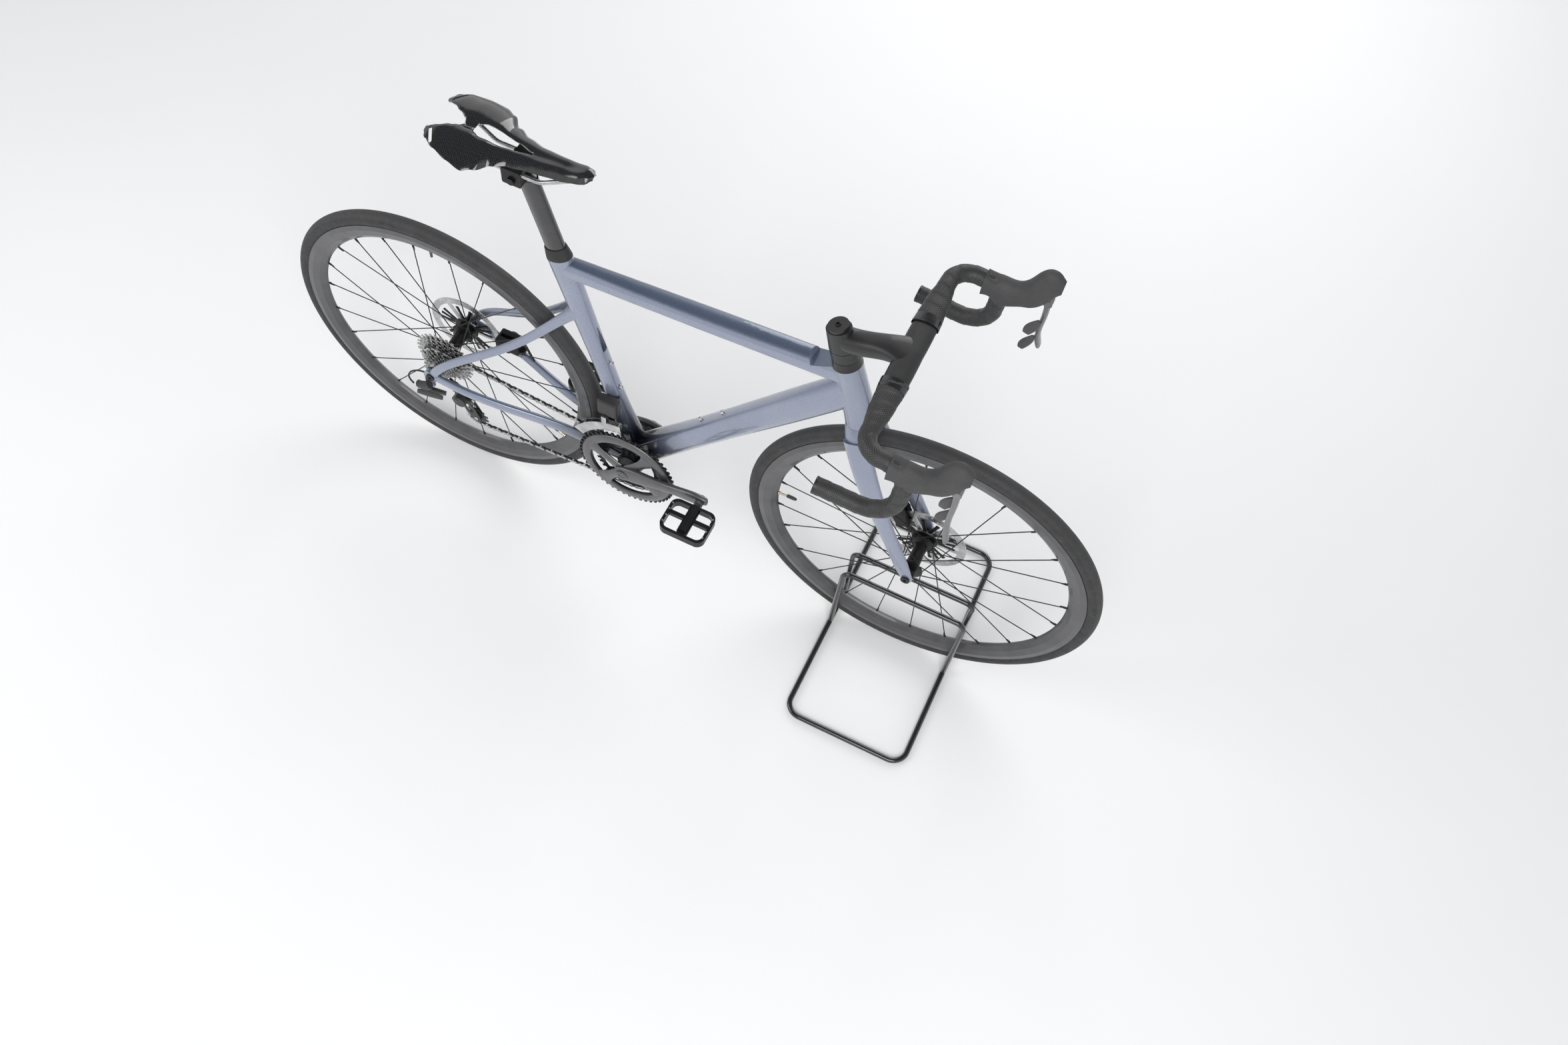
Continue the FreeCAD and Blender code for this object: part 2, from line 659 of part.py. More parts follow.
def bar_tape():
    parts = []
    for side in (-1, 1):
        wrap = bar_shape(TAPE_THICK, side)
        wrap = wrap.cut(box(V(200, -TAPE_START, 600), V(600, TAPE_START, 1100)))
        wrap = wrap.cut(bar_shape(0, side)).cut(hood_outer(side, 0))
        parts.extend(s for s in wrap.Solids if s.Volume > 500)
    return Part.makeCompound(parts)


def drop_end(side):
    c = BAR_CENTRE
    low = V(c.x + BAR_REACH - 5, side * (DROP_HALF - 4), c.z - BAR_DROP)
    end = V(c.x - 48, side * DROP_HALF, c.z - BAR_DROP + 10)
    return end, (end - low).normalize()


def bar_plugs():
    plugs = []
    for side in (-1, 1):
        end, out = drop_end(side)
        plug = cyl(14.5, end, end + out * 3.5)
        plugs.append(plug.makeFillet(1.6, [plug.Edges[0]]))
    return Part.makeCompound(plugs)


def brake_lever(side):
    """Blade below a pivot barrel. Stations go down the blade, leaning outwards to the tip."""
    pivot = lever_pivot(side)
    barrel = cyl(LEVER_BARREL_R, pivot - Y * LEVER_BARREL_HALF, pivot + Y * LEVER_BARREL_HALF)
    stations = [
        (pivot + V(-0.5, 0, -2), 5, 7),
        (pivot + V(1, side * 0.5, -20), 4.8, 7),
        (pivot + V(1.5, side * 2, -47), 4.6, 7),
        (pivot + V(2, side * 5, -80), 4.4, 7.4),
        (pivot + V(6, side * 9, -102), 4.2, 8),
        (pivot + V(9.5, side * 12, -115), 3.6, 7),
    ]
    return fuse([barrel, blade(stations, power=2.6)])


def shift_paddle(side, upper):
    """Small plate behind the brake lever, on a pin that faces the lever's inner side."""
    drop = PADDLE_PIN_DROPS[0 if upper else 1]
    size = PADDLE_HALF_DEPTHS[0 if upper else 1]
    pivot = lever_pivot(side)
    pin = V(pivot.x - 1, side * PADDLE_Y, pivot.z - drop)
    plate = blade([
        (pin + V(-0.5, 0, 5), 4, 2),
        (pin + V(-5, 0, -6), size - 1, 2.2),
        (pin + V(-11, 0, -19), size, 2.4),
        (pin + V(-14, 0, -30), size - 3, 2),
    ], power=3)
    reach = side * (3.5 if upper else 6)
    return fuse([plate, cyl(2.2, pin, pin + Y * reach)])


def tyre(axle):
    r, w = TYRE_RADIUS, TYRE_WIDTH / 2
    mid = r - w - 0.5
    outer, inner = [], []
    for i in range(21):
        a = math.radians(-62 + 304 * i / 20 - 0.0)
        outer.append((mid + (w + 0.5) * math.sin(a), (w + 0.2) * math.cos(a)))
        inner.append((mid + (w - 2.6) * math.sin(a), (w - 2.6) * math.cos(a)))
    profile = [p for p in outer if p[0] >= RIM_OUTER_R] + [p for p in reversed(inner) if p[0] >= RIM_OUTER_R]
    return ring_of(profile, axle)


def rim(axle):
    w = RIM_WIDTH / 2
    top, low = RIM_OUTER_R, RIM_OUTER_R - RIM_DEPTH
    profile = [(top, -w + 1), (top, -w + 4), (top - 7, -w + 5), (top - 9, 0), (top - 7, w - 5), (top, w - 4),
               (top, w - 1), (top - 10, w), (top - 24, w - 3), (low + 3, 4), (low, 0), (low + 3, -4),
               (top - 24, -w + 3), (top - 10, -w)]
    ring = ring_of(profile, axle)
    hollow = ring_of([(top - 12, -w + 3), (top - 12, w - 3), (top - 23, w - 6), (low + 4, 0), (top - 23, -w + 6)], axle)
    valve = cyl(2.6, V(axle.x, 0, axle.z + low + 3.5), V(axle.x, 0, axle.z + low - 14))
    return Part.makeCompound([ring.cut(hollow), valve.cut(ring)])


def hub(axle, half, flange_left, flange_right, rotor_y):
    e = half - 0.3
    profile = [(AXLE_R + 0.08, -e), (9, -e), (9, flange_right - 4), (23 if flange_right < -20 else 20, flange_right - 3),
               (23, flange_right), (13, flange_right + 5), (12, 0), (13, flange_left - 5), (23, flange_left),
               (22, flange_left + 3), (16, flange_left + 5), (16, rotor_y - 1.2), (16, rotor_y + 1.4), (11, rotor_y + 4),
               (11, e), (AXLE_R + 0.08, e)]
    return ring_of(profile, axle)


def spokes(axle, flange_left, flange_right):
    rods = []
    outer = RIM_OUTER_R - RIM_DEPTH + 0.6
    for i in range(SPOKES):
        y = flange_left - 1.5 if i % 2 else flange_right + 1.5
        a = 2 * math.pi * (i + 0.5) / SPOKES
        lean = math.radians(68) * (1 if (i // 2) % 2 else -1)
        start = V(axle.x + 21 * math.cos(a + lean), y, axle.z + 21 * math.sin(a + lean))
        end = V(axle.x + outer * math.cos(a), math.copysign(1.2, y), axle.z + outer * math.sin(a))
        rods.append(cyl(SPOKE_R, start, end))
    return Part.makeCompound(rods)


def rotor(axle, y):
    half = ROTOR_THICK / 2
    ring = tube(ROTOR_R, ROTOR_R - 14, V(axle.x, y - half, axle.z), V(axle.x, y + half, axle.z))
    holes = []
    for i in range(36):
        a = 2 * math.pi * i / 36
        r = ROTOR_R - 4 - 3.2 * (i % 3)
        p = V(axle.x + r * math.cos(a), y, axle.z + r * math.sin(a))
        holes.append(cyl(2.1, p - Y * 3, p + Y * 3))
    ring = ring.cut(Part.makeCompound(holes))
    spider = tube(26, 16.3, V(axle.x, y - 1.2, axle.z), V(axle.x, y + 1.2, axle.z))
    arms = []
    for i in range(6):
        arm = Part.makeBox(46, 2 * half, 9, V(22, -half, -4.5))
        arm.rotate(V(0, 0, 0), Y, 60 * i)
        arms.append(moved(arm, V(axle.x, y, axle.z)))
    shape = fuse([ring, spider] + arms)
    return shape


def freehub():
    return tube(17, 9.4, V(REAR.x, -REAR_DROP_HALF + 3, REAR.z), V(REAR.x, -REAR_DROP_HALF + 48, REAR.z))


def cassette():
    pieces = []
    for i, teeth in enumerate(SPROCKETS):
        y = CHAIN_Y + (CHAIN_SPROCKET - i) * SPROCKET_STEP
        phase = PHASES[1] if i == CHAIN_SPROCKET else 0.0
        pieces.append(relieved(toothed(teeth, REAR, y, 1.6, phase, 17.0)))
        if i:
            half = SPROCKET_STEP / 2 - 0.8
            mid = V(REAR.x, y + SPROCKET_STEP / 2, REAR.z)
            pieces.append(tube(19.5, 17.0, mid - Y * half, mid + Y * half))
    return fuse(pieces)


def spider_angles():
    return [CRANK_TILT + a for a in (38, 142, 218, 322)]


def drive_crank():
    """Right arm with its spider and the spindle."""
    axis = polar(CRANK_TILT)
    end = BB + axis * CRANK_LENGTH
    arm = blade([(BB + V(0, -61, 0) - axis * 14, 15, 6.5), (BB + V(0, -61, 0) + axis * 6, 19, 7.5),
                 (BB + V(0, -62, 0) + axis * 60, 15.5, 7), (BB + V(0, -64.5, 0) + axis * 130, 13.5, 6.8),
                 (end + V(0, -66.5, 0), 13, 6.3), (end + V(0, -66.5, 0) + axis * 12, 8, 5.5)],
                across=Y, power=2.8)
    hub_disc = cyl(22, BB - Y * 54.5, BB - Y * 40.5)
    arms = [arm, hub_disc]
    for angle in spider_angles():
        out = polar(angle)
        arms.append(blade([(BB + out * 10 + V(0, -53.5, 0), 9, 3.6), (BB + out * 50 + V(0, -50, 0), 8, 3.0),
                           (BB + out * 62 + V(0, -44.5, 0), 7, 1.6)], across=Y))
    shape = fuse(arms)
    shape = shape.cut(tube(140, 45.5, BB - Y * 50.1, BB - Y * 45.9))
    shape = shape.cut(tube(140, 45.5, BB - Y * 42.9, BB - Y * 30.0))
    spindle = tube(SPINDLE_R, 9, BB - Y * 60, BB + Y * 64)
    shape = fuse([biggest(shape), spindle])
    shape = shape.cut(cyl(6.9, end - Y * 90, end - Y * 40))
    return Part.makeCompound([shape, pedal_axle(-1, CRANK_TILT)])


def left_crank():
    axis = polar(CRANK_TILT + 180)
    end = BB + axis * CRANK_LENGTH
    arm = blade([(BB + V(0, 57, 0) - axis * 20, 12, 7), (BB + V(0, 57, 0), 19, 8),
                 (BB + V(0, 59, 0) + axis * 60, 15, 7), (BB + V(0, 64, 0) + axis * 130, 13.5, 6.8),
                 (end + V(0, 66.5, 0), 13, 6.3), (end + V(0, 66.5, 0) + axis * 12, 8, 5.5)],
                across=Y, power=2.8)
    arm = arm.cut(cyl(SPINDLE_R, BB + Y * 40, BB + Y * 90))
    arm = arm.cut(cyl(6.9, end + Y * 40, end + Y * 90))
    return Part.makeCompound([arm, pedal_axle(1, CRANK_TILT + 180)])


def chainrings():
    big = toothed(BIG_TEETH, BB, BIG_RING_Y, 4.0, PHASES[0] + 0.03, 76)
    small = relieved(toothed(SMALL_TEETH, BB, CHAIN_Y, 1.8, PHASES[0], 56))
    return ring_with_tabs(big, BIG_RING_Y, 4.0, 80), ring_with_tabs(small, CHAIN_Y, 1.8, 60)


def ring_with_tabs(ring, y, thick, reach):
    """Add the four mounting tabs that reach inwards to the spider's bolts."""
    tabs = []
    for angle in spider_angles():
        centre = BB + polar(angle) * BOLT_CIRCLE_R
        tabs.append(cyl(9, V(centre.x, y - thick / 2, centre.z), V(centre.x, y + thick / 2, centre.z)))
        web = Part.makeBox(reach - BOLT_CIRCLE_R, thick, 18, V(BOLT_CIRCLE_R, -thick / 2, -9))
        web.rotate(V(0, 0, 0), Y, -angle)
        tabs.append(moved(web, BB + Y * y))
    shape = fuse([ring] + tabs)
    bolts = []
    for angle in spider_angles():
        centre = BB + polar(angle) * BOLT_CIRCLE_R
        bolts.append(cyl(4.1, V(centre.x, -70, centre.z), V(centre.x, -30, centre.z)))
    return shape.cut(Part.makeCompound(bolts))


def chain():
    pieces = []
    count = len(CHAIN)
    for i in range(count):
        p, q = CHAIN[i], CHAIN[(i + 1) % count]
        pieces.append(cyl(ROLLER_R, p - Y * 1.15, p + Y * 1.15))
        along = V(q.x - p.x, 0, q.z - p.z).normalize()
        side = along.cross(Y)
        r = 4.1
        gap = 1.2 if i % 2 else 2.0
        for way in (-1, 1):
            y0 = CHAIN_Y + way * gap
            y1 = V(0, way * 0.75, 0)
            a, b = V(p.x, y0, p.z), V(q.x, y0, q.z)
            edges = [Part.LineSegment(a + side * r, b + side * r).toShape(),
                     Part.Arc(b + side * r, b + along * r, b - side * r).toShape(),
                     Part.LineSegment(b - side * r, a - side * r).toShape(),
                     Part.Arc(a - side * r, a - along * r, a + side * r).toShape()]
            pieces.append(Part.Face(Part.Wire(edges)).extrude(y1))
    return Part.makeCompound(pieces)


def pedal(side, angle):
    """Platform pedal: a barrel with a cage round it."""
    end = BB + polar(angle) * CRANK_LENGTH
    y0, y1 = side * 86, side * 158
    barrel = cyl(11, V(end.x, y0, end.z), V(end.x, side * 146, end.z))
    low, high = min(y0, y1), max(y0, y1)
    outer = Part.makeBox(92, high - low, 16, V(end.x - 46, low, end.z - 8))
    upright = [e for e in outer.Edges if abs(e.tangentAt(e.FirstParameter).z) > 0.9]
    outer = outer.makeFillet(16, upright)
    inner = Part.makeBox(80, high - low - 12, 30, V(end.x - 40, low + 6, end.z - 15))
    upright = [e for e in inner.Edges if abs(e.tangentAt(e.FirstParameter).z) > 0.9]
    inner = inner.makeFillet(12, upright)
    cage = outer.cut(inner)
    bars = [box(V(end.x - 42, side * 116 - 4, end.z - 5), V(end.x + 42, side * 116 + 4, end.z + 5))]
    bars.append(box(V(end.x - 8, low + 1, end.z - 6), V(end.x + 8, high - 3, end.z + 6)))
    shape = fuse([cage, barrel] + bars)
    return shape.cut(cyl(5.1, V(end.x, side * 80, end.z), V(end.x, side * 141, end.z)))


def pedal_axle(side, angle):
    end = BB + polar(angle) * CRANK_LENGTH
    rod = cyl(5.0, V(end.x, side * 73, end.z), V(end.x, side * 140, end.z))
    collar = cyl(8.5, V(end.x, side * 73.2, end.z), V(end.x, side * 80, end.z))
    screw = cyl(6.8, V(end.x, side * 59, end.z), V(end.x, side * 74, end.z))
    return fuse([rod, collar, screw])


HANGER = V(REAR.x - 9, 0, REAR.z - 28)
LINK_START = V(REAR.x - 38, 0, REAR.z - 46)


def rear_derailleur_knuckle():
    """Mount bolt and knuckle that hangs from the dropout's ear."""
    bolt = cyl(6, V(HANGER.x, -REAR_DROP_HALF - 6, HANGER.z), V(HANGER.x, -REAR_DROP_HALF - 19, HANGER.z))
    arm = blade([(V(HANGER.x + 6, -84, HANGER.z + 6), 9, 6), (V(HANGER.x - 14, -84, HANGER.z - 8), 11, 6.5),
                 (V(LINK_START.x + 6, -83, LINK_START.z + 8), 9, 7)], across=Y)
    return fuse([bolt, arm])


def derailleur_link(y, width):
    """One side of the parallelogram, from the fixed knuckle towards the cage knuckle."""
    start = V(LINK_START.x + 4, y, LINK_START.z - 10)
    end = V(GUIDE.x - 24, y + 14, GUIDE.z + 18)
    return blade([(start, 8, width), ((start + end) * 0.5, 10, width), (end, 8, width)], across=Y, power=2.6)


def cage_knuckle():
    centre = V(GUIDE.x, 0, GUIDE.z)
    drum = cyl(14, V(centre.x, -60, centre.z), V(centre.x, -48.6, centre.z))
    lug = blade([(V(centre.x, -55, centre.z), 10, 5), (V(centre.x - 11, -58, centre.z + 9), 8, 5)], across=Y)
    pin = cyl(3.4, V(centre.x, -49, centre.z), V(centre.x, -34.0, centre.z))
    return fuse([drum, lug, pin])


def derailleur_cage():
    plates = []
    for y0, y1 in ((-47.8, -46.0), (-36.6, -35.0)):
        a, b = V(GUIDE.x, 0, GUIDE.z), V(TENSION.x, 0, TENSION.z)
        along = (b - a).normalize()
        mid = (a + b) * 0.5
        u = along
        v = Y.cross(along).normalize()
        wire = oval(V(mid.x, y0, mid.z), u, v, PULLEY_GAP / 2 + 13, 12.5, 2.6)
        plate = Part.Face(wire).extrude(V(0, y1 - y0, 0))
        plate = plate.cut(cyl(3.6, V(a.x, -60, a.z), V(a.x, -20, a.z)))
        window = oval(V(mid.x, y0 - 1, mid.z), u, v, 13, 6, 2.4)
        plates.append(plate.cut(Part.Face(window).extrude(V(0, 6, 0))))
    pin = cyl(2.5, V(TENSION.x, -48.5, TENSION.z), V(TENSION.x, -34, TENSION.z))
    return fuse(plates + [pin])


def pulley(centre, bore, phase):
    disc = relieved(toothed(PULLEY_TEETH, centre, CHAIN_Y, 1.9, phase, bore))
    hub_ring = tube(8, bore, V(centre.x, CHAIN_Y - 3.6, centre.z), V(centre.x, CHAIN_Y + 3.6, centre.z))
    return disc.fuse(hub_ring)


FD = V(BB.x - 44, -30, BB.z + 158)


def front_derailleur_body(frame):
    block = box(V(FD.x - 19, -42, FD.z - 20), V(FD.x + 22, -20.5, FD.z + 22))
    block = block.makeFillet(5, block.Edges)
    foot = box(V(FD.x - 6, -24, FD.z - 12), V(FD.x + 14, -10, FD.z + 12))
    return biggest(block.fuse(foot).cut(frame))


def front_derailleur_cage():
    parts = []
    for y0, y1 in ((-46.0, -44.9), (-37.1, -36.0)):
        plate = tube(128, 107, BB + V(0, y0, 0), BB + V(0, y1, 0))
        wedge = [BB + V(0, y0 - 1, 0), BB + V(0, y0 - 1, 0) + polar(96, 200), BB + V(0, y0 - 1, 0) + polar(124, 260),
                 BB + V(0, y0 - 1, 0) + polar(152, 200)]
        sector = Part.Face(Part.makePolygon(wedge + [wedge[0]])).extrude(V(0, y1 - y0 + 2, 0))
        parts.append(plate.common(sector))
    for angle in (98, 149):
        p = BB + polar(angle, 125.5)
        parts.append(cyl(2.0, V(p.x, -45.5, p.z), V(p.x, -36.5, p.z)))
    parts.append(box(V(FD.x - 8, -46, BB.z + 116), V(FD.x + 2, -36, BB.z + 137)))
    return fuse(parts)


def seatpost():
    body = post_blade(0, SEAT_TUBE - POST_INSERT, (POST_TOP_Z - BB.z) / math.sin(math.radians(SEAT_ANGLE)))
    top = BB + SEAT_DIR * ((POST_TOP_Z - BB.z) / math.sin(math.radians(SEAT_ANGLE)))
    clamp = post_clamp_centre()
    neck = loft([oval(top - SEAT_DIR * 2, SEAT_FRONT, Y, POST_DEPTH / 2, POST_WIDTH / 2),
                 oval(clamp - Z * 4, X, Y, 12, 12)])
    barrel = cyl(11, clamp - Y * 14, clamp + Y * 14)
    return fuse([body, neck, barrel])


def post_clamp_centre():
    along = (RAIL_Z - 12 - BB.z) / math.sin(math.radians(SEAT_ANGLE))
    p = BB + SEAT_DIR * along
    return V(p.x - 8, 0, RAIL_Z - 13)


def seat_cradle():
    """Two-part rail clamp with its cross bolt, tilting about the post's barrel."""
    c = post_clamp_centre()
    parts = []
    for side in (-1, 1):
        ear = box(V(c.x - 17, min(side * 15, side * 28), c.z - 10), V(c.x + 17, max(side * 15, side * 28), RAIL_Z + 7))
        parts.append(ear.makeFillet(3, [e for e in ear.Edges if abs(e.tangentAt(e.FirstParameter).y) > 0.9]))
    bridge = box(V(c.x - 17, -20, c.z + 12), V(c.x + 17, 20, RAIL_Z + 7))
    shape = fuse(parts + [bridge])
    shape = shape.cut(cyl(11.5, c - Y * 14.6, c + Y * 14.6))
    for side in (-1, 1):
        rail = cyl(RAIL_R + 0.35, V(c.x - 60, side * RAIL_HALF, RAIL_Z), V(c.x + 60, side * RAIL_HALF, RAIL_Z))
        shape = shape.cut(rail)
        head = cyl(6.5, c + V(0, side * 28, 0), c + V(0, side * 32, 0))
        shape = shape.fuse(head)
    return shape


def saddle_rails():
    nose, tail = SADDLE_NOSE_X - 30, SADDLE_NOSE_X - SADDLE_LENGTH + 34
    c = post_clamp_centre()
    rails = []
    for side in (-1, 1):
        y = side * RAIL_HALF
        points = [V(tail, side * 34, RAIL_Z + 19), V(c.x - 52, y, RAIL_Z), V(c.x + 48, y, RAIL_Z),
                  V(nose, side * 7, RAIL_Z + 18)]
        rails.append(pipe(points, [0, 40, 40, 0], RAIL_R))
    return Part.makeCompound(rails)


SADDLE_STATIONS = (
    (0.0, 0.42, -6), (0.03, 0.66, -2), (0.10, 0.90, 0), (0.18, 1.0, 0), (0.27, 0.97, -1), (0.38, 0.76, -4),
    (0.50, 0.50, -7), (0.64, 0.34, -8), (0.80, 0.27, -7), (0.94, 0.22, -8), (1.0, 0.12, -13),
)


def saddle():
    """Saddle body: stations of (share of length from the tail, share of half width, drop)."""
    tail = SADDLE_NOSE_X - SADDLE_LENGTH
    wires = []
    for share, wide, drop in SADDLE_STATIONS:
        half = SADDLE_WIDTH / 2 * wide
        height = 12 + 3 * wide
        centre = V(tail + SADDLE_LENGTH * share, 0, SADDLE_TOP_Z + drop - height)
        wires.append(oval(centre, Y, Z, half, height, 2.5))
    body = loft(wires)
    slot = oval(V(tail + SADDLE_LENGTH * 0.42, 0, SADDLE_TOP_Z - 60), X, Y, SADDLE_LENGTH * 0.24, 10, 2.4)
    body = body.cut(Part.Face(slot).extrude(V(0, 0, 90)))
    return body.cut(saddle_rails())


def stand():
    """Floor loop across the wheel with a hoop on each side of it, welded from round rod."""
    cx = FRONT.x + STAND_OFFSET
    hx, hy = STAND_WIDTH / 2, STAND_LENGTH / 2 - ROD_R
    z = ROD_R
    bends = [0, STAND_CORNER, STAND_CORNER, 0]
    hoops = []
    for side in (-1, 1):
        hoops.append(pipe([V(cx - hx, 0, z), V(cx - hx, side * hy, z), V(cx + hx, side * hy, z), V(cx + hx, 0, z)],
                          bends, ROD_R))
        foot, top = side * HOOP_FOOT_HALF, side * HOOP_TOP_HALF
        points = [V(cx - hx, foot, z), V(cx - hx, top, HOOP_HEIGHT), V(cx + hx, top, HOOP_HEIGHT),
                  V(cx + hx, foot, z)]
        hoops.append(pipe(points, [0, 18, 18, 0], ROD_R))
    return fuse(hoops)


def corded(name, points, radius):
    """Held hose or wire: straight runs joined by the largest tangent arcs that fit."""
    radii = [0]
    for i in range(1, len(points) - 1):
        back, on = points[i - 1] - points[i], points[i + 1] - points[i]
        turn = math.pi - back.getAngle(on)
        radii.append(0.45 * min(back.Length, on.Length) / math.tan(turn / 2))
    radii.append(0)
    print(name, "arc radii", [round(r, 1) for r in radii[1:-1]])
    solid = pipe(points, radii, radius)
    edges = rounded_edges(points, radii)
    length = sum(e.Length for e in edges)
    print(name, "length", round(length, 1), "volume ratio", round(solid.Volume / (math.pi * radius ** 2 * length), 4))
    return solid


def rear_brake_hose():
    points = [V(REAR.x + 150, 57, REAR.z - 17), V(REAR.x + 142, 57, REAR.z + 3), V(REAR.x + 136, 57, REAR.z + 20),
              V(REAR.x + 127, 57, REAR.z + 24)]
    return corded("rear_brake_hose", points, 2.5)


def front_brake_hose():
    base = FRONT + polar(137, 76) + V(0, 34.6, 0)
    points = [base + V(-8, 2, 31), base + V(-13, 4, 50), base + V(-14, 8, 66), base + V(-10, 12, 82),
              base + V(-6, 13.5, 97)]
    return corded("front_brake_hose", points, 2.5)


def shift_wire():
    points = [V(REAR.x - 12, -77, REAR.z + 4), V(REAR.x - 26, -80, REAR.z + 6), V(REAR.x - 42, -84, REAR.z - 2),
              V(REAR.x - 50, -86, REAR.z - 18), V(REAR.x - 47, -86, REAR.z - 32), V(REAR.x - 42, -85, REAR.z - 40)]
    return corded("shift_wire", points, 1.8)


def save(name, shape):
    shape.exportStep("parts/" + name + ".step")
    solids = shape.Solids
    print(f"{name:26s} solids {len(solids):4d} volume {shape.Volume / 1000:10.2f} cm3 valid {shape.isValid()}")


def main():
    os.makedirs("parts", exist_ok=True)
    print("cage angle", round(CAGE_ANGLE, 2), "guide", GUIDE, "tension", TENSION, "rollers", len(CHAIN))
    frame = front_frame()
    save("front_frame", frame)
    stays = chain_stays(frame)
    save("chain_stays", stays)
    upper = seat_stays(frame, stays)
    save("seat_stays", upper)
    save("bottom_bracket_cups", bottom_bracket())
    save("headset_bearings", headset_bearings())
    save("bottle_bolts", bottle_bolts())
    save("seat_clamp_cover", seat_clamp_cover())
    save("rear_thru_axle", thru_axle(REAR, REAR_DROP_HALF, DROP_THICK))
    rear_body = rear_caliper(stays)
    save("rear_caliper", rear_body)
    save("rear_brake_hose", biggest(rear_brake_hose().cut(stays)))
    save("shift_wire", biggest(shift_wire().cut(stays)))
    save("front_derailleur_body", front_derailleur_body(frame))
    save("front_derailleur_cage", front_derailleur_cage())
    save("rear_derailleur_knuckle", rear_derailleur_knuckle())
    save("rear_derailleur_link_outer", derailleur_link(-89, 2.2))
    save("rear_derailleur_link_inner", derailleur_link(-77, 2.2))
    save("rear_derailleur_cage_knuckle", cage_knuckle())
    save("rear_derailleur_cage", derailleur_cage())
    save("guide_pulley", pulley(GUIDE, 3.5, PHASES[2]))
    save("tension_pulley", pulley(TENSION, 2.6, PHASES[3]))
    save("chain", chain())
    forks = fork()
    save("fork", forks)
    save("stem_spacers", stem_spacers())
    save("bar_stem", bar_stem())
    save("bar_tape", bar_tape())
    save("bar_end_plugs", bar_plugs())
    save("lever_hoods", lever_hoods())
    save("lever_brackets", lever_brackets())
    save("front_thru_axle", thru_axle(FRONT, FRONT_DROP_HALF, 10.6))
    save("front_caliper", front_caliper(forks))
    save("front_brake_hose", biggest(front_brake_hose().cut(forks)))
    for name, side in (("left", 1), ("right", -1)):
        save("brake_lever_" + name, brake_lever(side))
        save("shift_paddle_upper_" + name, shift_paddle(side, True))
        save("shift_paddle_lower_" + name, shift_paddle(side, False))
    front_rotor_y = FRONT_DROP_HALF - ROTOR_FROM_DROP
    rear_rotor_y = REAR_DROP_HALF - ROTOR_FROM_DROP
    for name, axle, half, left, right, rotor_y in (
            ("front", FRONT, FRONT_DROP_HALF, 22, -34, front_rotor_y),
            ("rear", REAR, REAR_DROP_HALF, 38, -17, rear_rotor_y)):
        save(name + "_tyre", tyre(axle))
        save(name + "_rim", rim(axle))
        save(name + "_spokes", spokes(axle, left, right))
        save(name + "_hub", hub(axle, half, left, right, rotor_y))
        save(name + "_rotor", rotor(axle, rotor_y))
    save("freehub", freehub())
    save("cassette", cassette())
    save("drive_crank", drive_crank())
    save("left_crank", left_crank())
    big, small = chainrings()
    save("outer_chainring", big)
    save("inner_chainring", small)
    save("right_pedal", pedal(-1, CRANK_TILT))
    save("left_pedal", pedal(1, CRANK_TILT + 180))
    save("seatpost", seatpost())
    save("seat_cradle", seat_cradle())
    save("saddle_rails", saddle_rails())
    save("saddle", saddle())
    save("stand", stand())


main()
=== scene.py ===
import bpy
import json
import math
from mathutils import Matrix, Vector


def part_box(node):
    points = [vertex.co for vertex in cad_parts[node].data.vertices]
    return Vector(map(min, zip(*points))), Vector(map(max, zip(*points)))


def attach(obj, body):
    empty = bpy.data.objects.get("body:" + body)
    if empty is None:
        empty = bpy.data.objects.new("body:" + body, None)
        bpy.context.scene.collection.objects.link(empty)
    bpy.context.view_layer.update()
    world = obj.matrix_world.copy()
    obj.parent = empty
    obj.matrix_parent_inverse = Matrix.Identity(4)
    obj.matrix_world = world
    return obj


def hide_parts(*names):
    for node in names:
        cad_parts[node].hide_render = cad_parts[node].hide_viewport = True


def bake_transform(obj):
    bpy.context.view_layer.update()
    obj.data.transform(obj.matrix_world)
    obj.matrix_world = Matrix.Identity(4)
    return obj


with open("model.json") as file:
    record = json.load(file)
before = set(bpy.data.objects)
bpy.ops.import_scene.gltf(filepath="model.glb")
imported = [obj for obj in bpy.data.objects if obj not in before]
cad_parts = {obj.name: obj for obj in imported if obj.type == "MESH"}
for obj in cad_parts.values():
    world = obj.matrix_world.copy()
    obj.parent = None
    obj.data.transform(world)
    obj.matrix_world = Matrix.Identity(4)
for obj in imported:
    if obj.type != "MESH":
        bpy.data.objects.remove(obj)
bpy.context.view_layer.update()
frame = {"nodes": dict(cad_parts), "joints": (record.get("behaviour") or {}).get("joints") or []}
NODES = frame["nodes"]
JOINTS = {j["name"]: j for j in frame["joints"]}
X, Y, Z = Vector((1, 0, 0)), Vector((0, 1, 0)), Vector((0, 0, 1))


def place(joint):
    return Vector(JOINTS[joint]["pos_m"])


REAR, FRONT = place("rear_wheel_spin"), place("front_wheel_spin")
BB = place("crank_spin")
GUIDE, TENSION = place("guide_pulley_spin"), place("tension_pulley_spin")
CHAIN_Y = GUIDE.y


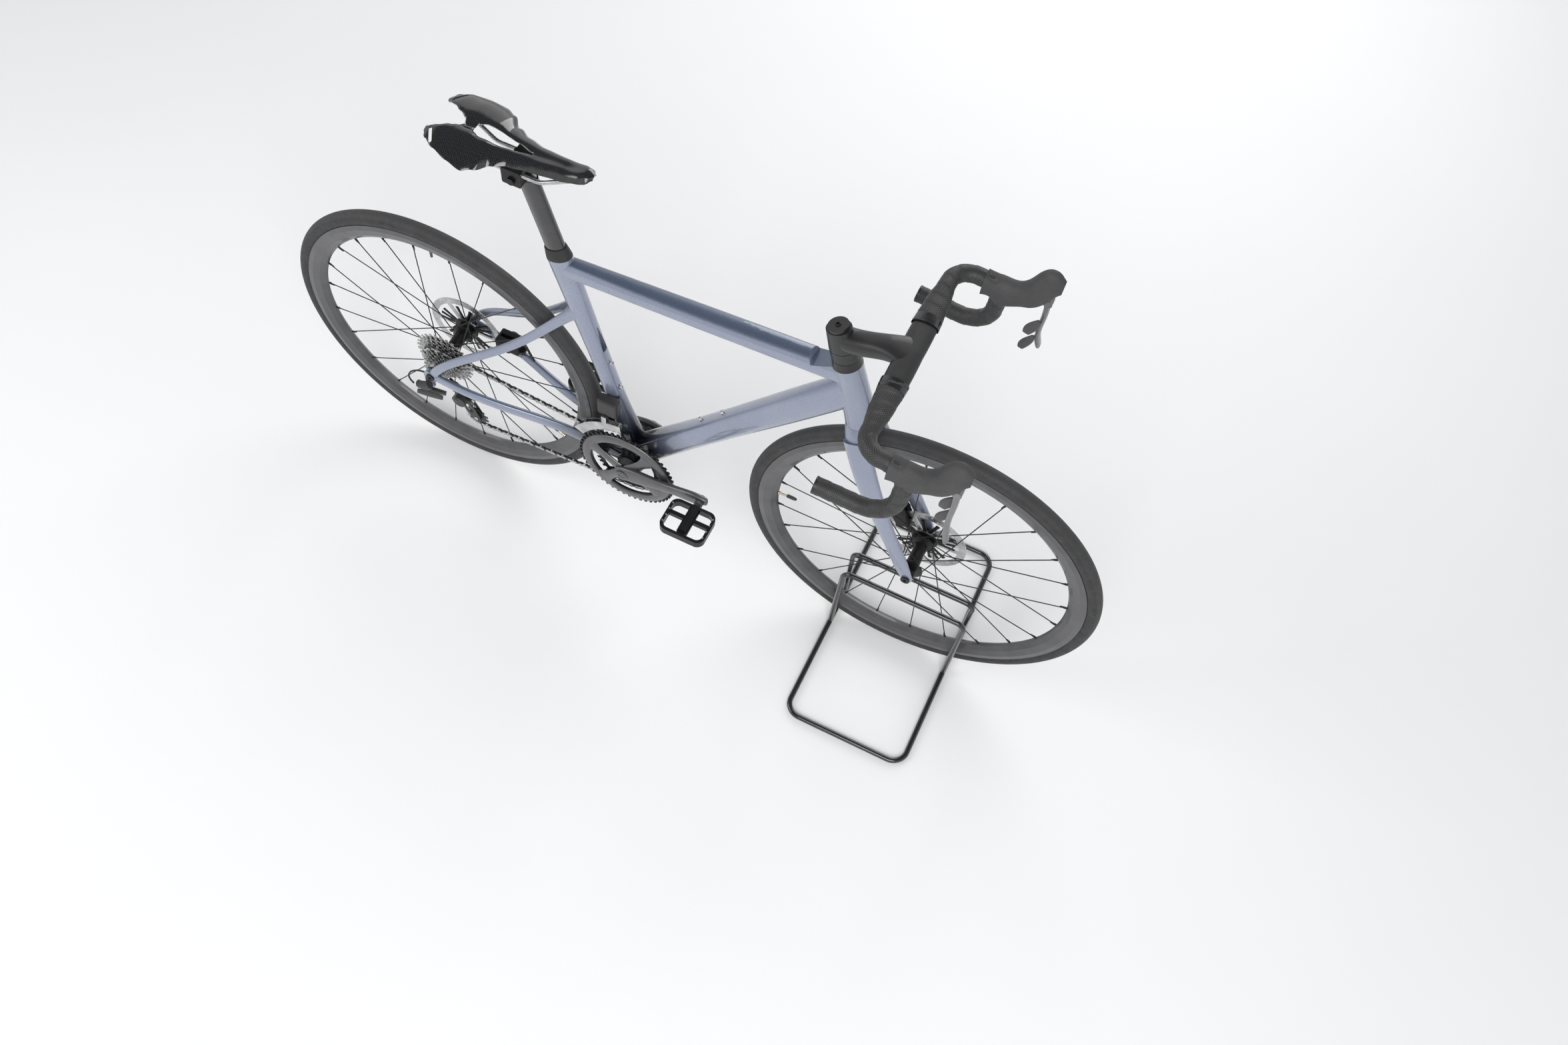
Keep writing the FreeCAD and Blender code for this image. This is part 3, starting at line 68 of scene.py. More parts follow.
# ---------------------------------------------------------------- camera
def camera():
    data = bpy.data.cameras.new("camera")
    data.sensor_width = 36.0
    data.lens = 29.82
    data.shift_x, data.shift_y = 0.0442, 0.0186
    data.clip_end = 60
    cam = bpy.data.objects.new("camera", data)
    right = Vector((0.89504, 0.44432, 0.03841)).normalized()
    back = Vector((0.18002, -0.43875, 0.88039)).normalized()
    up = back.cross(right).normalized()
    m = Matrix((right, up, back)).transposed().to_4x4()
    m.translation = Vector((0.5884, -1.2024, 2.4139))
    cam.matrix_world = m
    bpy.context.scene.collection.objects.link(cam)
    bpy.context.scene.camera = cam


camera()
bpy.context.scene.view_settings.view_transform = "Standard"


# ---------------------------------------------------------------- materials
class Mat:
    """A principled material with short ways to add procedural nodes."""

    def __init__(self, name, metallic=0.0, rough=0.5, coat=0.0, coat_rough=0.05, spec=0.5):
        self.m = bpy.data.materials.new(name)
        self.m.use_nodes = True
        self.t = self.m.node_tree
        self.t.nodes.clear()
        out = self.add("ShaderNodeOutputMaterial")
        self.p = self.add("ShaderNodeBsdfPrincipled")
        self.p.inputs["Metallic"].default_value = metallic
        self.p.inputs["Roughness"].default_value = rough
        self.p.inputs["Coat Weight"].default_value = coat
        self.p.inputs["Coat Roughness"].default_value = coat_rough
        self.p.inputs["Specular IOR Level"].default_value = spec
        self.t.links.new(self.p.outputs[0], out.inputs[0])
        self.bumps = None

    def add(self, kind, **values):
        n = self.t.nodes.new(kind)
        for k, v in values.items():
            setattr(n, k, v)
        return n

    def set(self, node, **values):
        for k, v in values.items():
            socket = node.inputs[k.replace("_", " ")]
            if hasattr(v, "is_linked"):
                self.t.links.new(v, socket)
            else:
                socket.default_value = v
        return node

    def coords(self, kind="Object", scale=(1, 1, 1), turn=(0, 0, 0)):
        c = self.add("ShaderNodeTexCoord")
        m = self.add("ShaderNodeMapping")
        m.inputs["Scale"].default_value = scale
        m.inputs["Rotation"].default_value = turn
        self.t.links.new(c.outputs[kind], m.inputs["Vector"])
        return m.outputs[0]

    def noise(self, scale, detail=4.0, rough=0.55, vec=None):
        n = self.add("ShaderNodeTexNoise")
        self.set(n, Scale=scale, Detail=detail, Roughness=rough, Vector=vec or self.coords())
        return n.outputs[0]

    def wave(self, scale, vec, direction="X", distortion=0.0):
        n = self.add("ShaderNodeTexWave", bands_direction=direction)
        self.set(n, Scale=scale, Distortion=distortion, Vector=vec)
        return n.outputs[1]

    def cells(self, scale, vec, randomness=1.0, feature="F1"):
        n = self.add("ShaderNodeTexVoronoi", feature=feature)
        self.set(n, Scale=scale, Randomness=randomness, Vector=vec)
        return n.outputs[0]

    def cell_colour(self, scale, vec):
        n = self.add("ShaderNodeTexVoronoi")
        self.set(n, Scale=scale, Vector=vec)
        return n.outputs[1]

    def ramp(self, fac, *stops):
        n = self.add("ShaderNodeValToRGB")
        while len(n.color_ramp.elements) < len(stops):
            n.color_ramp.elements.new(0.5)
        for e, (at, c) in zip(n.color_ramp.elements, stops):
            e.position = at
            e.color = (c, c, c, 1) if isinstance(c, float) else (*c, 1)
        self.t.links.new(fac, n.inputs[0])
        return n.outputs[0]

    def mix(self, fac, a, b, how="MIX"):
        n = self.add("ShaderNodeMix", data_type="RGBA", blend_type=how)
        for value, socket in ((fac, n.inputs[0]), (a, n.inputs[6]), (b, n.inputs[7])):
            if hasattr(value, "is_linked"):
                self.t.links.new(value, socket)
            else:
                socket.default_value = value if isinstance(value, float) else (*value, 1)
        return n.outputs[2]

    def math(self, how, a, b=0.0, c=0.0):
        n = self.add("ShaderNodeMath", operation=how)
        for value, socket in zip((a, b, c), n.inputs):
            if hasattr(value, "is_linked"):
                self.t.links.new(value, socket)
            else:
                socket.default_value = value
        return n.outputs[0]

    def parts(self, vec):
        n = self.add("ShaderNodeSeparateXYZ")
        self.t.links.new(vec, n.inputs[0])
        return n.outputs

    def colour(self, value):
        self.t.links.new(value, self.p.inputs["Base Color"])

    def rough(self, fac, low, high):
        n = self.add("ShaderNodeMapRange")
        self.set(n, Value=fac, To_Min=low, To_Max=high)
        n.inputs["From Min"].default_value = 0.3
        n.inputs["From Max"].default_value = 0.7
        self.t.links.new(n.outputs[0], self.p.inputs["Roughness"])

    def bump(self, height, strength, distance):
        n = self.add("ShaderNodeBump")
        self.set(n, Strength=strength, Distance=distance, Height=height)
        if self.bumps:
            self.t.links.new(self.bumps, n.inputs["Normal"])
        self.bumps = n.outputs[0]
        self.t.links.new(self.bumps, self.p.inputs["Normal"])


def simple(name, dark, light, metallic=0.0, rough=(0.4, 0.55), coat=0.0, grain=220.0, bump=0.15, depth=0.0003,
           patches=18.0, stretch=(1, 1, 1)):
    m = Mat(name, metallic=metallic, coat=coat)
    vec = m.coords(scale=stretch)
    broad = m.noise(patches, 5, vec=vec)
    m.colour(m.ramp(broad, (0.3, dark), (0.7, light)))
    fine = m.noise(grain, 6, vec=vec)
    m.rough(fine, *rough)
    m.bump(fine, bump, depth)
    return m


def grey(v, blue=1.0):
    return (v, v, v * blue)


def frame_paint():
    m = Mat("frame_paint", metallic=0.45, coat=1.0, coat_rough=0.03)
    vec = m.coords()
    x, _, z = m.parts(vec)
    dx = m.math("SUBTRACT", x, BB.x - 0.005)
    dz = m.math("SUBTRACT", z, BB.z + 0.01)
    far = m.math("SQRT", m.math("ADD", m.math("MULTIPLY", dx, dx), m.math("MULTIPLY", dz, dz)))
    uneven = m.math("MULTIPLY", m.noise(9.0, 3, vec=vec), 0.05)
    near = m.ramp(m.math("ADD", far, uneven), (0.09, 1.0), (0.21, 0.0))
    # painted shade: surfaces facing up are darkened towards deep blue in the base colour
    up = m.parts(m.add("ShaderNodeNewGeometry").outputs["Normal"])[2]
    shade = m.ramp(up, (0.55, 0.0), (0.93, 1.0))
    base = m.mix(m.noise(14.0, 3, vec=vec), (0.215, 0.245, 0.330), (0.290, 0.320, 0.415))
    top_shaded = m.mix(m.math("MULTIPLY", shade, 0.75), base, (0.060, 0.092, 0.150))
    body = m.mix(near, top_shaded, (0.005, 0.009, 0.017))
    flakes = m.cell_colour(2600.0, vec)
    m.colour(m.mix(0.07, body, flakes, "OVERLAY"))
    m.rough(m.noise(700.0, 2, vec=vec), 0.26, 0.36)
    m.bump(m.noise(26.0, 2, vec=vec), 0.05, 0.0015)
    return m


def weave(name, dark, light, cell, coat, rough):
    """Twill carbon cloth under clear coat."""
    m = Mat(name, coat=coat, coat_rough=0.04, metallic=0.2)
    vec = m.coords(turn=(0, 0, math.radians(45)))
    a = m.wave(0.25 / cell, vec, "X")
    b = m.wave(0.25 / cell, vec, "Y")
    check = m.add("ShaderNodeTexChecker")
    m.set(check, Scale=1.0 / cell, Vector=vec)
    cloth = m.mix(check.outputs[1], a, b)
    m.colour(m.ramp(cloth, (0.1, dark), (0.95, light)))
    m.rough(m.noise(60.0, 3, vec=vec), rough[0], rough[1])
    m.bump(cloth, 0.10, 0.0002)
    return m


def tyre_rubber():
    m = Mat("tyre_rubber", rough=0.6)
    uv = m.coords("UV")
    away = m.math("ABSOLUTE", m.parts(uv)[1])
    tread = m.ramp(away, (0.0125, 1.0), (0.0145, 0.0))
    slant = m.coords("UV", turn=(0, 0, math.radians(38)))
    other = m.coords("UV", turn=(0, 0, math.radians(-38)))
    hatch = m.math("MAXIMUM", m.wave(90.0, slant, "X"), m.wave(90.0, other, "X"))
    cut = m.ramp(hatch, (0.80, 0.0), (0.97, 1.0))
    smooth_band = m.ramp(away, (0.004, 0.0), (0.0052, 1.0))
    hatch_here = m.math("MULTIPLY", m.math("MULTIPLY", cut, tread), smooth_band)
    ribs = m.wave(260.0, uv, "Y")
    side = m.math("MULTIPLY", ribs, m.ramp(away, (0.0145, 0.0), (0.017, 1.0)))
    dust = m.noise(55.0, 5)
    base = m.ramp(dust, (0.3, grey(0.020, 1.04)), (0.7, grey(0.036, 1.03)))
    m.colour(m.mix(m.math("MULTIPLY", tread, 0.55), base, grey(0.050, 1.02)))
    m.rough(m.noise(180.0, 4), 0.55, 0.72)
    m.bump(m.math("MULTIPLY", hatch_here, -1.0), 0.55, 0.0006)
    m.bump(side, 0.18, 0.0003)
    m.bump(m.noise(900.0, 3), 0.10, 0.0002)
    return m


def tape_cover():
    m = Mat("tape_cover", rough=0.55)
    holes = m.cells(1.0, m.coords("UV", scale=(330, 330, 1), turn=(0, 0, math.radians(45))), 0.0)
    pit = m.ramp(holes, (0.16, 0.0), (0.24, 1.0))
    grain = m.cells(900.0, m.coords())
    # painted highlight: the perforation holes are coloured a lighter grey than the tape, standing for small
    # glints
    m.colour(m.mix(pit, grey(0.085), m.ramp(m.noise(40.0, 4), (0.3, grey(0.016)), (0.7, grey(0.030)))))
    m.rough(m.noise(300.0, 4), 0.42, 0.62)
    m.bump(pit, 0.6, 0.0006)
    m.bump(grain, 0.25, 0.00025)
    return m


def hood_rubber():
    m = simple("hood_rubber", grey(0.040, 1.03), grey(0.062, 1.02), rough=(0.6, 0.8), grain=500.0, bump=0.18)
    lines = m.wave(120.0, m.coords(turn=(0, 0, math.radians(8))), "Y")
    z = m.parts(m.coords())[2]
    band = m.ramp(z, (0.893, 0.0), (0.903, 1.0))
    m.bump(m.math("MULTIPLY", m.ramp(lines, (0.55, 0.0), (0.8, 1.0)), band), 0.35, 0.0007)
    return m


def steel(name, dark, light, rough=(0.22, 0.4), stretch=(1, 1, 1)):
    return simple(name, dark, light, metallic=1.0, rough=rough, grain=420.0, bump=0.06, depth=0.0002,
                  patches=60.0, stretch=stretch)


M = {
    "paint": frame_paint(),
    "matte_black": simple("matte_black_carbon", grey(0.010), grey(0.020, 1.05), rough=(0.34, 0.46),
                          coat=0.15, grain=600.0, bump=0.10),
    "gloss_black": simple("gloss_black", grey(0.006), grey(0.013, 1.1), rough=(0.12, 0.22), coat=0.9,
                          grain=90.0, bump=0.04),
    "post_black": simple("post_black", grey(0.014, 1.05), grey(0.030, 1.08), rough=(0.22, 0.32), coat=0.6,
                         grain=120.0, bump=0.05),
    "anodised": simple("black_anodised", grey(0.012), grey(0.024, 1.02), metallic=0.6, rough=(0.28, 0.42),
                       grain=500.0, bump=0.10),
    "plastic": simple("moulded_plastic", grey(0.016), grey(0.028, 1.04), rough=(0.36, 0.52), grain=800.0,
                      bump=0.2),
    "lever": simple("lever_satin", grey(0.16, 1.02), grey(0.24, 1.02), metallic=0.7, rough=(0.28, 0.40),
                    coat=0.3, grain=380.0, bump=0.05),
    "paddle": simple("paddle_resin", grey(0.045, 1.03), grey(0.070, 1.03), rough=(0.32, 0.46),
                     grain=700.0, bump=0.12),
    "rim": simple("rim_carbon", grey(0.048, 1.05), grey(0.070, 1.06), rough=(0.30, 0.42), coat=0.35,
                  grain=260.0, bump=0.05, patches=30.0),
    "tyre": tyre_rubber(),
    "rubber": simple("soft_rubber", grey(0.014), grey(0.026), rough=(0.55, 0.72), grain=700.0, bump=0.25),
    "hood": hood_rubber(),
    "tape": tape_cover(),
    "spoke": steel("black_spokes", grey(0.03), grey(0.06), rough=(0.3, 0.42)),
    "silver": steel("silver_steel", grey(0.42), grey(0.66), rough=(0.20, 0.36)),
    "cassette": steel("cassette_steel", grey(0.34), grey(0.62, 0.98), rough=(0.22, 0.42)),
    "rotor": steel("rotor_steel", grey(0.46), grey(0.62), rough=(0.24, 0.34)),
    "brass": steel("valve_nickel", (0.45, 0.42, 0.34), (0.62, 0.58, 0.48)),
    "alloy": steel("bare_alloy", grey(0.52), grey(0.70, 1.02), rough=(0.3, 0.45)),
    "crank": simple("crank_grey", grey(0.105, 1.03), grey(0.145, 1.03), metallic=0.75, rough=(0.34, 0.44),
                    coat=0.3, grain=420.0, bump=0.06),
    "chain_outer": steel("chain_plate", grey(0.36), grey(0.58), rough=(0.2, 0.34)),
    "chain_inner": steel("chain_inner", grey(0.05), grey(0.11), rough=(0.3, 0.45)),
    "hose": simple("hose_cover", grey(0.008), grey(0.016), rough=(0.3, 0.42), grain=900.0, bump=0.1),
    "stand": simple("stand_enamel", grey(0.006, 1.1), grey(0.014, 1.15), rough=(0.14, 0.26), coat=0.8,
                    grain=60.0, bump=0.08, depth=0.0006),
    "saddle": weave("saddle_weave", grey(0.004), grey(0.030, 1.1), 0.0024, 1.0, (0.12, 0.2)),
}

NODE_MATERIALS = {
    "paint": "front_frame chain_stays seat_stays fork",
    "anodised": "bottom_bracket_cups headset_bearings rear_thru_axle front_thru_axle rear_caliper "
                "front_caliper front_hub rear_hub outer_chainring inner_chainring right_pedal left_pedal "
                "seat_cradle",
    "plastic": "front_derailleur_body rear_derailleur_knuckle rear_derailleur_link_outer guide_pulley "
               "rear_derailleur_link_inner rear_derailleur_cage_knuckle rear_derailleur_cage tension_pulley",
    "paddle": "shift_paddle_upper_left shift_paddle_upper_right "
              "shift_paddle_lower_left shift_paddle_lower_right",
    "lever": "brake_lever_left brake_lever_right",
    "matte_black": "bar_stem stem_spacers bar_end_plugs",
    "gloss_black": "lever_brackets",
    "post_black": "seatpost",
    "rubber": "seat_clamp_cover",
    "hood": "lever_hoods",
    "tape": "bar_tape",
    "tyre": "front_tyre rear_tyre",
    "rim": "front_rim rear_rim",
    "spoke": "front_spokes rear_spokes",
    "rotor": "front_rotor rear_rotor",
    "cassette": "cassette freehub",
    "silver": "front_derailleur_cage saddle_rails",
    "alloy": "bottle_bolts",
    "crank": "drive_crank left_crank",
    "chain_outer": "chain",
    "hose": "rear_brake_hose front_brake_hose shift_wire",
    "stand": "stand",
    "saddle": "saddle",
}
for key, names in NODE_MATERIALS.items():
    for node in names.split():
        data = NODES[node].data
        data.materials.clear()
        data.materials.append(M[key].m)


# ---------------------------------------------------------------- mesh making
def piece(name, verts, faces, material, body, uvs=None, smooth=40.0, levels=0):
    mesh = bpy.data.meshes.new(name)
    mesh.from_pydata([tuple(v) for v in verts], [], faces)
    mesh.validate()
    if uvs:
        layer = mesh.uv_layers.new(name="UVMap")
        for loop in mesh.loops:
            layer.data[loop.index].uv = uvs[loop.vertex_index]
    o = bpy.data.objects.new(name, mesh)
    bpy.context.scene.collection.objects.link(o)
    mesh.materials.append(M[material].m)
    for p in mesh.polygons:
        p.use_smooth = True
    if levels:
        s = o.modifiers.new("subdivide", "SUBSURF")
        s.levels = s.render_levels = levels
    mesh.set_sharp_from_angle(angle=math.radians(smooth))
    if body:
        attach(o, body)
    return o


def revolve(profile, centre, axis, count, closed=False):
    """Verts, faces and uvs of (radius, along) points turned about an axis through centre."""
    axis = axis.normalized()
    u = (X if abs(axis.x) < 0.9 else Z).cross(axis).normalized()
    v = axis.cross(u)
    run, total = [0.0], 0.0
    for (r0, a0), (r1, a1) in zip(profile, profile[1:]):
        total += math.hypot(r1 - r0, a1 - a0)
        run.append(total)
    widest = max(r for r, a in profile)
    verts, faces, uvs = [], [], []
    for i in range(count + 1):
        t = 2 * math.pi * i / count
        out = u * math.cos(t) + v * math.sin(t)
        for (r, a), s in zip(profile, run):
            verts.append(centre + out * r + axis * a)
            uvs.append((t * widest, s - total / 2))
    n = len(profile)
    for i in range(count):
        for j in range(n - 1 + (1 if closed else 0)):
            k = (j + 1) % n
            faces.append((i * n + j, i * n + k, (i + 1) * n + k, (i + 1) * n + j))
    return verts, faces, uvs


def join(groups):
    verts, faces = [], []
    for v, f in groups:
        base = len(verts)
        verts.extend(v)
        faces.extend(tuple(base + i for i in face) for face in f)
    return verts, faces


def turned(profile, centre, axis, count=24):
    v, f, _ = revolve(profile, centre, axis, count)
    return v, f


def bolt(centre, axis, radius, height, key=0.5):
    """Cap screw head with a hex socket."""
    axis = axis.normalized()
    c = radius * 0.18
    head = [(radius, 0), (radius, height - c), (radius - c, height), (radius * key * 1.25, height)]
    v, f = turned(head, centre, axis)
    u = (X if abs(axis.x) < 0.9 else Z).cross(axis).normalized()
    w = axis.cross(u)
    ring, floor = [], []
    for i in range(24):
        t = 2 * math.pi * i / 24
        wedge = abs((t % (math.pi / 3)) - math.pi / 6)
        r = radius * key / math.cos(math.pi / 6 - wedge) * 0.95
        out = u * math.cos(t) + w * math.sin(t)
        ring.append(centre + out * r + axis * height)
        floor.append(centre + out * r + axis * (height * 0.35))
    base = len(v)
    v = v + ring + floor + [centre + axis * (height * 0.3)]
    for i in range(24):
        k = (i + 1) % 24
        rim, rim2 = i * 4 + 3, (i + 1) * 4 + 3
        f.append((rim, rim2, base + k, base + i))
        f.append((base + i, base + k, base + 24 + k, base + 24 + i))
        f.append((base + 24 + i, base + 24 + k, base + 48))
    return v, f


def sweep(stations, sides, shape=None):
    """Tube through (point, half depth, half height) stations; shape(run, turn) grows the section."""
    pts = [s[0] for s in stations]
    tangents = []
    for i in range(len(pts)):
        tangents.append((pts[min(i + 1, len(pts) - 1)] - pts[max(i - 1, 0)]).normalized())
    up = Z - tangents[0] * Z.dot(tangents[0])
    up.normalize()
    verts, faces, uvs, run = [], [], [], 0.0
    for i, (p, a, b) in enumerate(stations):
        t = tangents[i]
        up = (up - t * up.dot(t)).normalized()
        across = up.cross(t)
        if i:
            run += (p - pts[i - 1]).length
        for j in range(sides + 1):
            w = 2 * math.pi * j / sides
            k = shape(run, w) if shape else 0.0
            verts.append(p + across * ((a + k) * math.cos(w)) + up * ((b + k) * math.sin(w)))
            uvs.append((run, w * (a + b) / 2))
    n = sides + 1
    for i in range(len(pts) - 1):
        for j in range(sides):
            faces.append((i * n + j, i * n + j + 1, (i + 1) * n + j + 1, (i + 1) * n + j))
    return verts, faces, uvs


def polar(angle, length=1.0):
    a = math.radians(angle)
    return Vector((math.cos(a), 0, math.sin(a))) * length


def lerp(table, s):
    """Smooth value from (place, value) pairs."""
    for (s0, v0), (s1, v1) in zip(table, table[1:]):
        if s <= s1:
            t = max(0.0, (s - s0) / (s1 - s0))
            t = t * t * (3 - 2 * t)
            return v0 + (v1 - v0) * t
    return table[-1][1]


# ---------------------------------------------------------------- wheels
SPOKES = 24
RIM_DEPTH = 0.036


def wheels():
    for side, axle, valve in (("front", FRONT, 180.0), ("rear", REAR, -30.0)):
        body = side + "_wheel"
        lo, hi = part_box(side + "_tyre")
        outer, half = (hi.z - lo.z) / 2, (hi.y - lo.y) / 2
        small = 0.014
        profile = []
        for i in range(-16, 17):
            t = math.radians(8.6 * i)
            r = outer - small + small * math.cos(t)
            groove = 0.0004 * math.exp(-((abs(math.degrees(t)) - 74) / 3.0) ** 2)
            profile.append((r - groove, half * math.sin(t) * (1 - groove * 30)))
        v, f, uv = revolve(profile, axle, Y, 288)
        tyre = piece(side + "_tyre_tread", v, f, "tyre", body, uvs=uv)
        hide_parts(side + "_tyre")
        lo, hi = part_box(side + "_rim")
        inner = (hi.z - lo.z) / 2 - RIM_DEPTH
        groups = []
        for i in range(SPOKES):
            out = polar(360 / SPOKES * (i + 0.5))
            base = axle + Y * (0.0012 if i % 2 else -0.0012)
            groups.append(turned([(0.0021, 0.0006), (0.0021, -0.004), (0.0016, -0.0075), (0.0010, -0.012)],
                                 base + out * inner, out, 10))
        v, f = join(groups)
        piece(side + "_nipples", v, f, "anodised", body)
        out = polar(valve)
        stem = [(0.0042, 0.0005), (0.0042, -0.0022), (0.0030, -0.0026), (0.0029, -0.014), (0.0024, -0.0145),
                (0.0024, -0.020)]
        v, f = turned(stem, axle + out * inner, out, 18)
        piece(side + "_valve_stem", v, f, "brass", body)
        cap = [(0.0026, -0.0165), (0.0036, -0.017), (0.0036, -0.029), (0.0031, -0.0335), (0.0018, -0.0362),
               (0.0001, -0.0368)]
        v, f = turned(cap, axle + out * inner, out, 18)
        piece(side + "_valve_cap", v, f, "plastic", body)
        rlo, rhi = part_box(side + "_rotor")
        ry = (rlo.y + rhi.y) / 2
        groups = []
        for i in range(5):
            a = 72 * i + 18
            for k in range(3):
                spread = (k - 1) * 15
                st = [(axle + Y * ry + polar(a + spread * 0.6, 0.024), 0.0011, 0.0045),
                      (axle + Y * ry + polar(a + spread * 0.9, 0.040), 0.0012, 0.0034),
                      (axle + Y * ry + polar(a + spread, 0.0585), 0.0010, 0.0042)]
                vv, ff, _ = sweep(st, 10)
                groups.append((vv, ff))
        centre_ring = [(0.016, -0.0035), (0.024, -0.0032), (0.026, -0.001), (0.026, 0.001),
                       (0.024, 0.0028), (0.0225, 0.0046), (0.0165, 0.0050), (0.0150, 0.0030)]
        groups.append(turned(centre_ring, axle + Y * ry, Y, 48))
        v, f = join(groups)
        piece(side + "_rotor_carrier", v, f, "anodised", body)
        groups = []
        for s in (-1, 1):
            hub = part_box(side + "_hub")
            end = hub[1].y if s > 0 else hub[0].y
            groups.append(turned([(0.0125, -0.006 * s), (0.0128, -0.0030 * s), (0.0115, -0.0004 * s),
                                  (0.0072, -0.0002 * s)], Vector((axle.x, end, axle.z)), Y, 32))
        v, f = join(groups)
        piece(side + "_hub_caps", v, f, "anodised", body)


wheels()


# ---------------------------------------------------------------- chain
PITCH = 0.0127
RING_TEETH = 34
SPROCKET_TEETH = 19
PULLEY_TEETH = 11
CHAIN_LINKS = 100


def wheel_radius(teeth):
    return PITCH / (2 * math.sin(math.pi / teeth))


def chain_places():
    """Roller centres as (point, stretch) with stretch naming the run each one lies on."""
    stops = [(BB, RING_TEETH, 1), (REAR, SPROCKET_TEETH, 1), (GUIDE, PULLEY_TEETH, -1),
             (TENSION, PULLEY_TEETH, 1)]
    lines = []
    for i in range(4):
        (c1, n1, s1), (c2, n2, s2) = stops[i], stops[(i + 1) % 4]
        r1, r2 = wheel_radius(n1) * s1, wheel_radius(n2) * s2
        d = Vector((c2.x - c1.x, 0, c2.z - c1.z))
        a = math.atan2(d.z, d.x) - math.acos((r1 - r2) / d.length)
        n = Vector((math.cos(a), 0, math.sin(a)))
        lines.append((Vector((c1.x, 0, c1.z)) + n * r1, Vector((c2.x, 0, c2.z)) + n * r2))
    places, done, index = [], 0.0, 0
    for i, (c, teeth, s) in enumerate(stops):
        arrive, leave = lines[i - 1][1], lines[i][0]
        r = wheel_radius(teeth)
        a0 = math.atan2(arrive.z - c.z, arrive.x - c.x)
        a1 = math.atan2(leave.z - c.z, leave.x - c.x)
        pitches = ((a1 - a0) * s % (2 * math.pi)) * teeth / (2 * math.pi)
        while index < done + pitches:
            a = a0 + s * (index - done) * 2 * math.pi / teeth
            places.append((Vector((c.x + r * math.cos(a), CHAIN_Y, c.z + r * math.sin(a))), 2 * i))
            index += 1
        done += pitches
        start, end = lines[i]
        step = (end - start).normalized() * PITCH
        length = (end - start).length / PITCH
        while index < done + length and index < CHAIN_LINKS:
            p = start + step * (index - done)
            places.append((Vector((p.x, CHAIN_Y, p.z)), 2 * i + 1))
            index += 1
        done += length
    return places, lines


def link_plate(a, b, y, thick, wide, waist):
    """Figure-eight plate between two pins."""
    along = (b - a).normalized()
    across = Vector((-along.z, 0, along.x))
    outline = []
    for i in range(9):
        t = math.radians(-68 + 17 * i)
        outline.append(b + along * (wide * math.cos(t)) + across * (wide * math.sin(t)))
    outline.append((a + b) * 0.5 + across * waist)
    for i in range(9):
        t = math.radians(112 + 17 * i)
        outline.append(a + along * (wide * math.cos(t)) + across * (wide * math.sin(t)))
    outline.append((a + b) * 0.5 - across * waist)
    middle = (a + b) * 0.5
    levels = ((0.86, -thick / 2), (1.0, -thick / 4), (1.0, thick / 4), (0.86, thick / 2))
    verts, n = [], len(outline)
    for scale, dy in levels:
        for p in outline:
            q = p if scale == 1.0 else p + (middle - p).normalized() * 0.0005
            verts.append(Vector((q.x, CHAIN_Y + y + dy, q.z)))
    faces = [tuple(range(n))[::-1], tuple(range(3 * n, 4 * n))]
    for k in range(3):
        for i in range(n):
            j = (i + 1) % n
            faces.append((k * n + i, k * n + j, (k + 1) * n + j, (k + 1) * n + i))
    return verts, faces


def chain():
    places, lines = chain_places()
    count = len(places)
    middle = 0.5 * (lines[3][0].x + lines[3][1].x)
    bins = {k: ([], []) for k in ("upper", "drop", "guide_wrap", "lower_rear", "lower_front")}
    for i in range(count):
        (a, run), (b, _) = places[i], places[(i + 1) % count]
        if run in (0, 1, 2):
            key = "upper"
        elif run == 3:
            key = "drop"
        elif run == 4:
            key = "guide_wrap"
        elif run in (5, 6):
            key = "lower_rear"
        else:
            key = "lower_rear" if a.x < middle else "lower_front"
        silver, dark = bins[key]
        if i % 2:
            for s in (-1, 1):
                silver.append(link_plate(a, b, s * 0.00245, 0.0009, 0.0042, 0.0029))
        else:
            for s in (-1, 1):
                dark.append(link_plate(a, b, s * 0.00150, 0.0009, 0.0043, 0.0033))
        dark.append(turned([(0.0001, -0.0011), (0.0036, -0.0010), (0.0038, -0.0007), (0.0038, 0.0007),
                            (0.0036, 0.0010), (0.0001, 0.0011)], a, Y, 14))
        silver.append(turned([(0.0001, -0.00275), (0.0013, -0.00275), (0.0017, -0.0026), (0.0017, 0.0026),
                              (0.0013, 0.00275), (0.0001, 0.00275)], a, Y, 12))
    rides = {
        "upper": ("frame",),
        "drop": ("frame", "rear_shifter", lines[1][1], lines[1][1].lerp(GUIDE, 0.8)),
        "guide_wrap": ("rear_shifter",),
        "lower_rear": ("chain_cage",),
        "lower_front": ("frame", "rear_shifter", lines[3][1], Vector((middle, 0, lines[3][0].z))),
    }
    for key, (silver, dark) in bins.items():
        for part, groups, material in (("plates", silver, "chain_outer"), ("rollers", dark, "chain_inner")):
            v, f = join(groups)
            how = rides[key]
            body = how[0] if len(how) == 1 else None
            o = piece(f"chain_{key}_{part}", v, f, material, body, smooth=50)
            if not body:
                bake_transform(o)
            if key == "upper" and part == "plates":
                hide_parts("chain")


chain()


# ---------------------------------------------------------------- handlebar tape
STEER = JOINTS["steering_turn"]
HEAD_DIR = Vector(STEER["axis"]).normalized()
HEAD_TUBE = 0.132
CLAMP_MIDDLE = 0.070
STEM_REACH = 0.113
BAR_HEIGHT = 0.868
HEAD_TOP = place("steering_turn") + HEAD_DIR * HEAD_TUBE
BAR = Vector(((HEAD_TOP + HEAD_DIR * CLAMP_MIDDLE).x + STEM_REACH, 0, BAR_HEIGHT))


